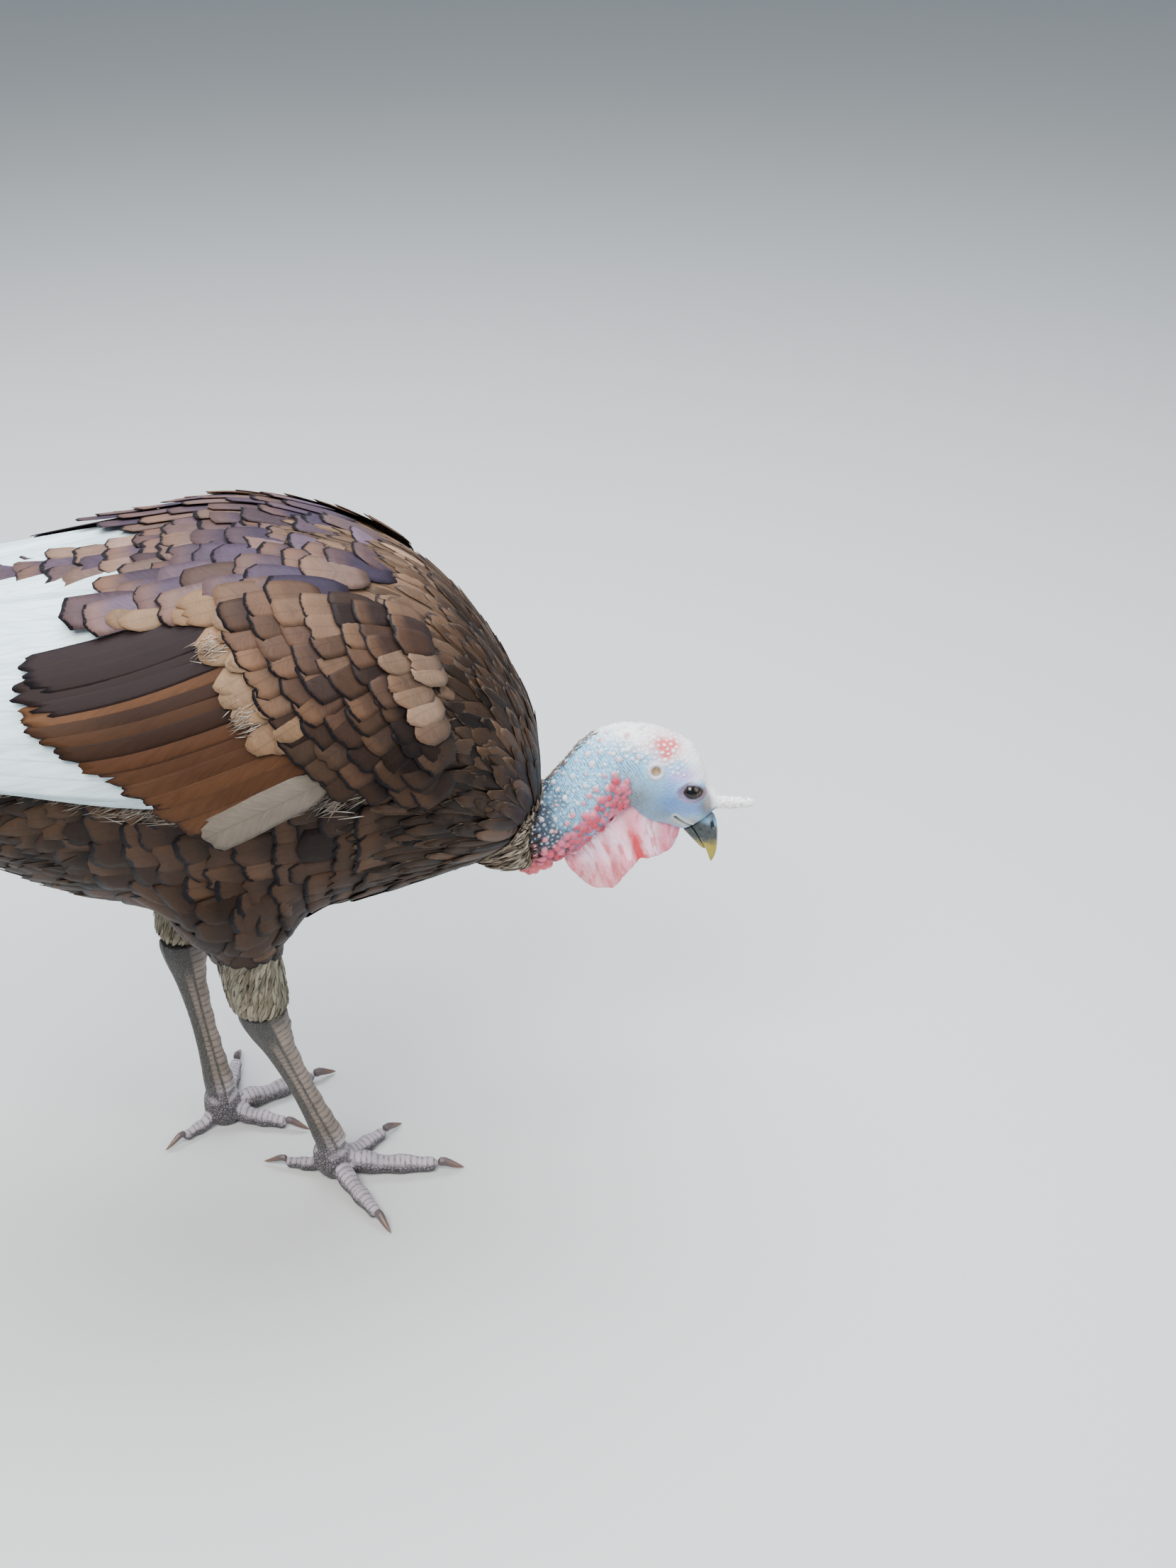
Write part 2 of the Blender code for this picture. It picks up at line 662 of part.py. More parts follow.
def add_features(head):
    """Raises eyelids and ear rims on the head, then sinks the eye openings, ears and mouth line."""
    rims, pits = [], []
    for side in (-1, 1):
        for opening in OPENINGS:
            point, normal = side_of(head, opening.place, side)
            along = (HEAD_FORWARD - normal * HEAD_FORWARD.dot(normal)).normalized()
            up = normal.cross(along)
            half_length, half_height = opening.rim
            centre = point - normal * 0.0003
            arms = (along * half_length, up * half_height, normal)
            rims.append(rim_ring(centre, *arms, opening.rim_radius))
            axes = [arm * size for arm, size in zip((along, up, normal), opening.hollow)]
            pits.append(swell("pit", point + normal * 0.0008, axes, 10, 6))
        start, normal = side_of(head, GAPE, side)
        end = side_of(head, GAPE_END, side)[0]
        along = (end - start) * 0.62
        up = normal.cross(along).normalized() * 0.0009
        middle = start + along * 0.95 + normal * 0.0010
        pits.append(swell("mouth", middle, (along, up, normal * 0.0045), 6, 8))
    fuse(head, rims)
    carve(head, *pits)


def rim_ring(centre, along, up, normal, radius):
    """A raised oval ring lying on a surface, its tube of one radius all round."""
    tube = 0.25
    bpy.ops.mesh.primitive_torus_add(
        major_segments=12, minor_segments=4, major_radius=1.0, minor_radius=tube
    )
    ring = bpy.context.object
    for vert in ring.data.vertices:
        flat = Vector((vert.co.x, vert.co.y))
        middle = along * flat.normalized().x + up * flat.normalized().y
        spread = middle.normalized() * (flat.length - 1) + normal * vert.co.z
        vert.co = centre + middle + spread * radius / tube
    mesh = bmesh.new()
    mesh.from_mesh(ring.data)
    bpy.data.objects.remove(ring)
    bmesh.ops.triangulate(mesh, faces=mesh.faces)
    return add_object("rim", mesh, cutters)


def make_bill():
    upper = loft("bill_upper", [slice_arms(s) for s in UPPER_BILL], 14, 10)
    lower = loft("bill_lower", [slice_arms(s) for s in LOWER_BILL], 12, 8)
    point, forward = slice_plane(BILL_START, GAP / 2)
    for piece in (upper, lower):
        trim(piece, point, -forward)
    pits = []
    for side in (-1, 1):
        top, normal = side_of(upper, NOSTRIL_TOP, side)
        foot = side_of(upper, NOSTRIL_FOOT, side)[0]
        along = (foot - top) / 2
        across = normal.cross(along).normalized() * 0.0012
        pits.append(swell("nostril", (top + foot) / 2, (along, across, normal * 0.0018), 6, 6))
    carve(upper, *pits)
    return upper, lower


def make_snood(head):
    base, tip = in_head(*SNOOD_BASE), in_head(*SNOOD_TIP)
    axis = (tip - base).normalized()
    up = HEAD_LEFT.cross(axis).normalized()

    def place(t, turn):
        centre = base + (tip - base) * t + up * 0.002 * math.sin(math.pi * t)
        radius = SNOOD_RADII[0] + (SNOOD_RADII[1] - SNOOD_RADII[0]) * t
        radius *= 1 + 0.05 * math.cos(14 * math.pi * t)
        if t < END or t > 1 - END:
            return centre
        return centre + (up * math.sin(turn) + HEAD_LEFT * math.cos(turn)) * radius

    snood = form("snood", 8, 14, place)
    return carve(snood, room_for(head))


def make_wattle(head, neck):
    columns, rows = 14, 3
    mesh = bmesh.new()
    bmesh.ops.create_grid(mesh, x_segments=columns, y_segments=rows, size=1.0)
    for vert in mesh.verts:
        along, drop = (vert.co.x + 1) / 2, (vert.co.y + 1) / 2
        root = smooth(WATTLE_ROOT, along * (len(WATTLE_ROOT) - 1))
        rim = smooth(WATTLE_RIM, along * (len(WATTLE_RIM) - 1))
        forward, height = root + (rim - root) * drop
        pleat = 0.0042 * drop * drop * math.sin(2 * math.pi * 4 * along)
        vert.co = in_head(forward, height, pleat)
    bmesh.ops.triangulate(mesh, faces=mesh.faces)
    bmesh.ops.recalc_face_normals(mesh, faces=mesh.faces)
    bmesh.ops.solidify(mesh, geom=mesh.faces[:], thickness=WATTLE_THICKNESS)
    return carve(add_object("wattle", mesh), room_for(head), room_for(neck))


def make_eyes(head):
    eyes = []
    for name, side in (("eye_left", 1), ("eye_right", -1)):
        centre = in_head(*EYE, side * EYE_SIDE)
        eyes.append(make_ball(name, centre, EYE_RADIUS, model))
        carve(head, make_ball("socket", centre, EYE_RADIUS + GAP, cutters))
    return eyes


def make_ball(name, centre, radius, collection):
    """A ball with its poles on the line through both eyes."""
    axes = [axis.normalized() * radius for axis in (HEAD_LEFT, HEAD_FORWARD, HEAD_UP)]
    return swell(name, centre, axes, 12, 6, collection)


def make_leg(leg, torso):
    out = -1 if leg.side == "right" else 1
    axis = leg.foot + Vector((0.0, 0.0, 0.02)) - leg.hock
    axis.normalize()
    fore = Vector((1.0, 0.0, 0.0)) - axis * axis.x
    fore.normalize()
    side = axis.cross(fore).normalized()
    hock = leg.hock

    def level(centre, front, back, wide):
        return (
            np.array(centre),
            np.array((front, 0.0, 0.0)),
            np.array((-back, 0.0, 0.0)),
            np.array((0.0, wide, 0.0)),
        )

    thigh_sections = [
        level(leg.thigh + Vector((-0.004, -out * 0.030, 0.045)), 0.040, 0.040, 0.020),
        level(leg.thigh + Vector((-0.002, -out * 0.014, 0.022)), 0.060, 0.056, 0.038),
    ]
    for part in THIGH:
        thigh_sections.append(level(leg.thigh.lerp(hock, part.at), part.front, part.back, part.wide))
    thigh_sections.append(level(hock + Vector((0.004, 0.0, 0.002)), 0.012, 0.010, 0.012))
    thigh = loft(f"thigh_{leg.side}", thigh_sections, 14, 16)
    carve(thigh, room_for(torso))

    ankle = leg.foot + Vector((0.0, 0.0, ANKLE_HEIGHT))
    shank_sections = [
        (
            np.array(hock + (ankle - hock) * part.at),
            np.array(fore * part.front),
            np.array(fore * -part.back),
            np.array(side * part.wide),
        )
        for part in SHANK
    ]
    shank = loft(f"shank_{leg.side}", shank_sections, 10, 26, relief=SCUTE)
    down = (ankle - hock).normalized()
    trim(shank, ankle - down * GAP / 2, down)
    carve(shank, room_for(thigh))

    palm = form(
        f"foot_{leg.side}",
        10,
        8,
        lambda t, turn: leg.foot
        + Vector((0.0, 0.0, 0.0145))
        + down * (0.020 * -math.cos(math.pi * t))
        + (fore * math.cos(turn) * 0.0145 + side * math.sin(turn) * 0.0135) * math.sin(math.pi * t),
    )
    fuse(palm, [make_toe(leg, toe, out) for toe in TOES])
    trim(palm, Vector((0.0, 0.0, 0.0)), Vector((0.0, 0.0, -1.0)))
    trim(palm, ankle + down * GAP / 2, -down)
    claws = [carve(make_claw(leg, toe, out), room_for(palm)) for toe in TOES]
    return thigh, shank, palm, claws


def toe_line(leg, toe, out):
    """Start, end and sideways direction of a toe, in plan."""
    heading = math.radians(leg.heading + out * toe.angle)
    ahead = Vector((math.cos(heading), math.sin(heading), 0.0))
    start = leg.foot + ahead * 0.002
    return start, ahead, Vector((-ahead.y, ahead.x, 0.0))


def make_toe(leg, toe, out):
    start, ahead, across = toe_line(leg, toe, out)
    sections = []
    for at in (0.0, 0.12, 0.25, 0.38, 0.5, 0.62, 0.75, 0.88, 1.0):
        radius = toe.radius * (1 - 0.30 * at) * (1 + 0.07 * math.cos(6 * math.pi * at))
        height = radius * 0.92 + (toe.start_height - radius) * max(0.0, 1 - at / 0.45) ** 1.5
        sections.append(
            (
                np.array(start + ahead * toe.length * at + Vector((0.0, 0.0, height))),
                np.array((0.0, 0.0, radius)),
                np.array((0.0, 0.0, -radius)),
                np.array(across * radius * 0.95),
            )
        )
    return loft("toe", sections, 8, 10, cutters, TOE_SCUTE)


def make_claw(leg, toe, out):
    start, ahead, across = toe_line(leg, toe, out)
    base = start + ahead * (toe.length - 0.005)
    radius = toe.radius * 0.52
    sections = []
    for at in (0.0, 0.25, 0.5, 0.75, 1.0):
        size = radius * (1 - 0.86 * at**1.3)
        height = 0.0062 + 0.0022 * math.sin(math.pi * min(at, 0.6) / 0.6) - 0.0046 * at * at
        sections.append(
            (
                np.array(base + ahead * (CLAW_LENGTH + 0.005) * at + Vector((0.0, 0.0, height))),
                np.array((0.0, 0.0, size)),
                np.array((0.0, 0.0, -size * 0.8)),
                np.array(across * size * 0.8),
            )
        )
    return loft(f"claw_{leg.side}_{toe.name}", sections, 6, 6)


def main():
    clear_scene()
    brown, chestnut, white = (0.09, 0.04, 0.022), (0.16, 0.07, 0.035), (0.75, 0.74, 0.70)
    skin, horn = (0.55, 0.58, 0.66), (0.42, 0.33, 0.18)
    torso = make_torso()
    paint(torso, brown, 0.7)
    wing = make_wing(torso)
    paint(wing, chestnut, 0.6)
    paint(copy_of(wing, "wing_left", mirror=True), chestnut, 0.6)
    paint(make_tail(torso), white, 0.6)
    lower, upper, head = make_neck_and_head(torso)
    add_features(head)
    eyes = make_eyes(head)
    paint(lower, brown, 0.7)
    for piece in (upper, head):
        paint(piece, skin, 0.55)
    for eye in eyes:
        paint(eye, (0.01, 0.006, 0.004), 0.05)
    for piece in make_bill():
        paint(piece, horn, 0.4)
    paint(make_snood(head), (0.75, 0.55, 0.50), 0.5)
    paint(make_wattle(head, upper), (0.70, 0.28, 0.25), 0.45)
    for leg in LEGS:
        thigh, shank, foot, claws = make_leg(leg, torso)
        paint(thigh, brown, 0.7)
        for piece in (shank, foot):
            paint(piece, (0.17, 0.14, 0.13), 0.6)
        for claw in claws:
            paint(claw, (0.16, 0.11, 0.07), 0.4)


main()
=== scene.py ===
"""Looks for a life-size still turkey: skin, plumage, bare head, legs and a plain studio.

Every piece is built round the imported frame, in metres, with the floor at z = 0, the bill
towards +X and the bird's left towards +Y. All random draws are seeded.
"""

import json
import logging
import math
from collections.abc import Sequence
from dataclasses import dataclass, field
from enum import Enum

import bpy
import numpy as np
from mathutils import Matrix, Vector
from mathutils.bvhtree import BVHTree

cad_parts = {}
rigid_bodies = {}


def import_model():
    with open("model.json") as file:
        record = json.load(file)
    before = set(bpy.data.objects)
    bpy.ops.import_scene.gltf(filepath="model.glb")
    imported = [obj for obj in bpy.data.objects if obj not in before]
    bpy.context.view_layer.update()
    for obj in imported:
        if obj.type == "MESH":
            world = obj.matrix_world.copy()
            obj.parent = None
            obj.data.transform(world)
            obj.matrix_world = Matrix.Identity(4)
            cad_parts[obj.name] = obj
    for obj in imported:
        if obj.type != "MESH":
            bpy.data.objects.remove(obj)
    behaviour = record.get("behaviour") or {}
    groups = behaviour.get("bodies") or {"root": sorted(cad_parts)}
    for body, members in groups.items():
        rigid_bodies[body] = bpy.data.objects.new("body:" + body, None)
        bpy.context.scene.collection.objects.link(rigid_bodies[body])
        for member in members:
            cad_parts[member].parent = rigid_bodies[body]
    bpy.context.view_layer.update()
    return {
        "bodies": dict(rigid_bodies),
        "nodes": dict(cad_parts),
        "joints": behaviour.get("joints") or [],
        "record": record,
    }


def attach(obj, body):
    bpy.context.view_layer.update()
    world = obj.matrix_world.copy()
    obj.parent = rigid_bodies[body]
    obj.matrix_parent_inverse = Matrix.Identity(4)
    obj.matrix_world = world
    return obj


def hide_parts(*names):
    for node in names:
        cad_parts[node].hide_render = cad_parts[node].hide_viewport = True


log = logging.getLogger("turkey")

Array = np.ndarray
Piece = bpy.types.Object
Material = bpy.types.Material
Dice = np.random.Generator
Pair = tuple[float, float]
Line = tuple[Pair, ...]
Triple = tuple[float, float, float]
Colour = Triple

ROOT_BODY = "root"
VANE_MAP = "Vane"
BAKE_MAP = "OFBake"
ROOT_PATCH = 0.003
VANE_THICKNESS = 0.0005


# Small maths


def unit(vectors: Array) -> Array:
    """Vectors scaled to length one."""
    return vectors / np.maximum(np.linalg.norm(vectors, axis=-1, keepdims=True), 1e-12)


def ease(low: float, high: float, values: Array) -> Array:
    """A smooth step from 0 at low to 1 at high."""
    t = np.clip((np.asarray(values, float) - low) / (high - low), 0.0, 1.0)
    return t * t * (3 - 2 * t)


def blend(a: Array, b: Array, share: Array) -> Array:
    """A mix of two colours or vectors, by a share for each point."""
    share = np.asarray(share)[..., None]
    return np.asarray(a) * (1 - share) + np.asarray(b) * share


def layered(base: Array, *coats: tuple[Array | Colour, Array]) -> Array:
    """Coats of paint over a base, each a colour and how much of it covers each point.

    Args:
        base: Colours of the points.
        coats: Each coat, the first one lowest.

    Returns:
        The painted colours.
    """
    for colour, share in coats:
        base = blend(base, colour, share)
    return base


def peak(values: Array, middle: float, width: float) -> Array:
    """A soft peak over the values, 1 at its middle."""
    return np.exp(-(((values - middle) / width) ** 2))


def curve_through(rows: Array, at: Array) -> Array:
    """Values at fractional row numbers, on a smooth curve through the rows.

    Args:
        rows: One row of values for each stop.
        at: Fractional row numbers, of any shape.

    Returns:
        An array of the shape of at, with the row's values last.
    """
    rows = np.asarray(rows, float)
    last = len(rows) - 1
    at = np.clip(at, 0.0, last)
    i = np.minimum(at.astype(int), last - 1)
    t = (at - i)[..., None]
    before, a = rows[np.maximum(i - 1, 0)], rows[i]
    b, after = rows[i + 1], rows[np.minimum(i + 2, last)]
    slope_a = (b - before) / np.where(i == 0, 1, 2)[..., None]
    slope_b = (after - a) / np.where(i + 2 > last, 1, 2)[..., None]
    middle = a + (b - a) * t * t * (3 - 2 * t)
    return middle + slope_a * t * (1 - t) ** 2 - slope_b * t * t * (1 - t)


def spots_apart(points: Array, gaps: Array, rng: Dice) -> Array:
    """Picks points in random order, each at least its own gap from those already picked.

    Args:
        points: Candidate places.
        gaps: The least distance wanted round each candidate.
        rng: Source of the order.

    Returns:
        Index numbers of the picked points.
    """
    cell = float(gaps.max())
    taken: dict[tuple[int, int, int], list[Array]] = {}
    picked = []
    for i in rng.permutation(len(points)):
        point, gap = points[i], gaps[i]
        x, y, z = (int(c) for c in np.floor(point / cell))
        crowded = False
        for dx in (-1, 0, 1):
            for dy in (-1, 0, 1):
                for dz in (-1, 0, 1):
                    for other in taken.get((x + dx, y + dy, z + dz), ()):
                        if ((point - other) ** 2).sum() < gap * gap:
                            crowded = True
                            break
        if not crowded:
            taken.setdefault((x, y, z), []).append(point)
            picked.append(i)
    return np.array(picked, int)


# Meshes


def deselect_all() -> None:
    """Leaves nothing selected, so that an operator meets only what is picked next."""
    if bpy.context.mode != "OBJECT":
        bpy.ops.object.mode_set(mode="OBJECT")
    bpy.ops.object.select_all(action="DESELECT")


def make_active(piece: Piece) -> None:
    """Selects one object alone and makes it the active one.

    Args:
        piece: The object.
    """
    deselect_all()
    piece.select_set(True)
    bpy.context.view_layer.objects.active = piece


def apply_modifiers(piece: Piece) -> None:
    """Applies every modifier of an object, in order.

    Args:
        piece: The object.
    """
    make_active(piece)
    for modifier in list(piece.modifiers):
        bpy.ops.object.modifier_apply(modifier=modifier.name)


def face_outwards(piece: Piece) -> None:
    """Turns every face of a closed object outwards.

    Args:
        piece: The object.
    """
    make_active(piece)
    bpy.ops.object.mode_set(mode="EDIT")
    bpy.ops.mesh.select_all(action="SELECT")
    bpy.ops.mesh.normals_make_consistent(inside=False)
    bpy.ops.object.mode_set(mode="OBJECT")


def read_points(piece: Piece) -> Array:
    """The places of an object's vertices.

    Args:
        piece: The object.

    Returns:
        Three numbers for each vertex.
    """
    points = np.empty(len(piece.data.vertices) * 3)
    piece.data.vertices.foreach_get("co", points)
    return points.reshape(-1, 3)


def write_points(piece: Piece, points: Array) -> None:
    """Moves an object's vertices to new places."""
    piece.data.vertices.foreach_set("co", points.ravel())
    piece.data.update()


def read_normals(piece: Piece) -> Array:
    """The smooth normals at an object's vertices.

    Args:
        piece: The object.

    Returns:
        A direction for each vertex.
    """
    normals = np.empty(len(piece.data.vertices) * 3)
    piece.data.vertex_normals.foreach_get("vector", normals)
    return normals.reshape(-1, 3)


def write_colours(piece: Piece, name: str, colours: Array, alpha: Array | float = 1.0) -> None:
    """Stores a colour for each vertex under a name that a material can read.

    Args:
        piece: The object to mark.
        name: The attribute's name.
        colours: Three or four values for each vertex.
        alpha: The fourth value, where the colours have three.
    """
    if colours.shape[1] == 3:
        fourth = np.broadcast_to(np.reshape(alpha, (-1, 1)), (len(colours), 1))
        colours = np.hstack([colours, fourth])
    layer = piece.data.attributes.new(name, "FLOAT_COLOR", "POINT")
    layer.data.foreach_set("color", np.clip(colours, 0.0, 1.0).ravel())


def joined_copy(name: str, sources: Sequence[Piece]) -> Piece:
    """One object with the merged meshes of several others, which stay as they are.

    Args:
        name: The new object's name.
        sources: The objects to copy.

    Returns:
        The new object, with no finish.
    """
    deselect_all()
    copies = []
    for source in sources:
        copy = bpy.data.objects.new(name, source.data.copy())
        bpy.context.scene.collection.objects.link(copy)
        copy.select_set(True)
        copies.append(copy)
    bpy.context.view_layer.objects.active = copies[0]
    if len(copies) > 1:
        bpy.ops.object.join()
    piece = copies[0]
    bpy.ops.object.mode_set(mode="EDIT")
    bpy.ops.mesh.select_all(action="SELECT")
    bpy.ops.mesh.remove_doubles(threshold=1e-6)
    bpy.ops.object.mode_set(mode="OBJECT")
    piece.data.materials.clear()
    return piece


def reskin(piece: Piece, grain: float, rounds: int) -> None:
    """Rebuilds an object as one even skin of square faces and smooths it.

    Args:
        piece: A closed object, or several closed shapes in one.
        grain: The size of the new faces.
        rounds: How many times the skin is smoothed.
    """
    remesh = piece.modifiers.new("skin", "REMESH")
    remesh.mode = "VOXEL"
    remesh.voxel_size = grain
    if rounds:
        smooth = piece.modifiers.new("soften", "SMOOTH")
        smooth.factor = 0.5
        smooth.iterations = rounds
    apply_modifiers(piece)
    piece.data.shade_smooth()


def mesh_from_arrays(name: str, points: Array, faces: Array) -> Piece:
    """A new object from vertex places and four-cornered faces.

    Args:
        name: Its name.
        points: Vertex places.
        faces: Four vertex numbers for each face.

    Returns:
        The new object.
    """
    data = bpy.data.meshes.new(name)
    data.vertices.add(len(points))
    data.vertices.foreach_set("co", points.ravel())
    data.loops.add(faces.size)
    data.loops.foreach_set("vertex_index", faces.ravel())
    data.polygons.add(len(faces))
    data.polygons.foreach_set("loop_start", np.arange(0, faces.size, 4))
    data.update(calc_edges=True)
    data.shade_smooth()
    piece = bpy.data.objects.new(name, data)
    bpy.context.scene.collection.objects.link(piece)
    return piece


def write_map(piece: Piece, name: str, places: Array) -> None:
    """Stores a UV map given one place for each vertex.

    Args:
        piece: The object to mark.
        name: The map's name.
        places: Two values for each vertex.
    """
    corners = np.empty(len(piece.data.loops), int)
    piece.data.loops.foreach_get("vertex_index", corners)
    layer = piece.data.uv_layers.new(name=name)
    layer.data.foreach_set("uv", places[corners].ravel())


def hand_over(piece: Piece, finish: Material, slot: str, *nodes: str) -> None:
    """Gives a piece its finish, hands it to the frame and reports it.

    Args:
        piece: The modelled object.
        finish: Its material.
        slot: The record's material slot that it belongs to, named in the log.
        nodes: CAD nodes that it stands for.
    """
    piece.data.materials.append(finish)
    if nodes:
        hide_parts(*nodes)
    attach(piece, ROOT_BODY)
    log.info("%s: %d faces, slot %s", piece.name, len(piece.data.polygons), slot)


# Shader maths

Term = "Wire | float | Sequence[float]"


class Wire:
    """A shader socket on which Python's arithmetic adds Math nodes."""

    def __init__(self, board: "PaintBoard", socket: bpy.types.NodeSocket) -> None:
        """Wraps one output socket of a board's node."""
        self.board = board
        self.socket = socket

    def _math(self, operation: str, *terms: Term) -> "Wire":
        """Adds one Math node on the given terms."""
        settings = {"operation": operation}
        return self.board.add("ShaderNodeMath", settings, dict(enumerate(terms)))

    def __add__(self, other: Term) -> "Wire":
        """This plus other."""
        return self._math("ADD", self, other)

    def __radd__(self, other: Term) -> "Wire":
        """Other plus this."""
        return self._math("ADD", other, self)

    def __sub__(self, other: Term) -> "Wire":
        """This minus other."""
        return self._math("SUBTRACT", self, other)

    def __rsub__(self, other: Term) -> "Wire":
        """Other minus this."""
        return self._math("SUBTRACT", other, self)

    def __mul__(self, other: Term) -> "Wire":
        """This times other."""
        return self._math("MULTIPLY", self, other)

    def __abs__(self) -> "Wire":
        """The size of this without its sign."""
        return self._math("ABSOLUTE", self)

    def sine(self) -> "Wire":
        """The sine of this."""
        return self._math("SINE", self)

    def ease(self, low: Term, high: Term) -> "Wire":
        """A smooth step from 0 at low to 1 at high."""
        settings = {"interpolation_type": "SMOOTHSTEP"}
        return self.board.add("ShaderNodeMapRange", settings, {0: self, 1: low, 2: high})


class PaintBoard:
    """The node tree of one material."""

    def __init__(self, name: str) -> None:
        """Starts a material that holds only its Principled shader."""
        self.material = bpy.data.materials.new(name)
        self.material.use_nodes = True
        self.tree = self.material.node_tree
        self.shader = self.tree.nodes["Principled BSDF"]

    def _feed(self, target: bpy.types.NodeSocket, term: Term) -> None:
        """Links a wire to a socket, or writes a plain value on it.

        Args:
            target: The socket.
            term: What it takes.
        """
        if isinstance(term, Wire):
            self.tree.links.new(term.socket, target)
        elif isinstance(term, (int, float)):
            target.default_value = term
        else:
            values = tuple(term)
            if len(target.default_value) == 4 and len(values) == 3:
                values += (1.0,)
            target.default_value = values

    def add(
        self, kind: str, settings: dict[str, object], terms: dict[int | str, Term],
        output: int | str = 0,
    ) -> Wire:
        """Adds one node.

        Args:
            kind: The node's type.
            settings: Its own settings, which are set first.
            terms: A value or a wire for each socket that isn't left alone.
            output: Which output to return.

        Returns:
            The chosen output as a wire.
        """
        node = self.tree.nodes.new(kind)
        for key, value in settings.items():
            setattr(node, key, value)
        for key, term in terms.items():
            self._feed(node.inputs[key], term)
        return Wire(self, node.outputs[output])

    def mix(self, share: Term, a: Term, b: Term, blend_type: str = "MIX") -> Wire:
        """A mix of two colours, by a share of the second."""
        settings = {"data_type": "RGBA", "blend_type": blend_type}
        return self.add("ShaderNodeMix", settings, {0: share, 6: a, 7: b}, output=2)

    def shaded(self, colour: Term, shade: Term) -> Wire:
        """A colour made lighter or darker by a number."""
        return self.mix(1.0, colour, self.joined(shade, shade, shade), "MULTIPLY")

    def stored(self, name: str, output: int | str = "Color") -> Wire:
        """A value that the mesh stores for each vertex."""
        return self.add("ShaderNodeAttribute", {"attribute_name": name}, {}, output)

    def split(self, vector: Term) -> tuple[Wire, Wire, Wire]:
        """The three parts of a vector or colour."""
        node = self.add("ShaderNodeSeparateXYZ", {}, {0: vector}).socket.node
        return tuple(Wire(self, socket) for socket in node.outputs)

    def joined(self, x: Term, y: Term, z: Term) -> Wire:
        """A vector from its three parts."""
        return self.add("ShaderNodeCombineXYZ", {}, {0: x, 1: y, 2: z})

    def places(self) -> Wire:
        """Object coordinates, which are metres in the bird's own frame here."""
        return self.add("ShaderNodeTexCoord", {}, {}, "Object")

    def noise(self, vector: Term, scale: float, detail: float = 2.0) -> Wire:
        """Soft noise from 0 to 1."""
        terms = {"Vector": vector, "Scale": scale, "Detail": detail}
        return self.add("ShaderNodeTexNoise", {}, terms)

    def cells(self, vector: Term, scale: float, feature: str = "F1") -> Wire:
        """Distance within cells, for scales and pebbled skin."""
        terms = {"Vector": vector, "Scale": scale}
        return self.add("ShaderNodeTexVoronoi", {"feature": feature}, terms, "Distance")

    def bump(self, height: Term, strength: float, distance: float) -> Wire:
        """A normal that a height pattern disturbs."""
        terms = {"Strength": strength, "Distance": distance, "Height": height}
        return self.add("ShaderNodeBump", {}, terms)

    def finish(self, **sockets: Term) -> Material:
        """Sets the shader's sockets, named with _ for each space, and returns the material.

        Args:
            sockets: A value or a wire for each socket.

        Returns:
            The material.
        """
        for name, term in sockets.items():
            self._feed(self.shader.inputs[name.replace("_", " ")], term)
        return self.material


# Finishes


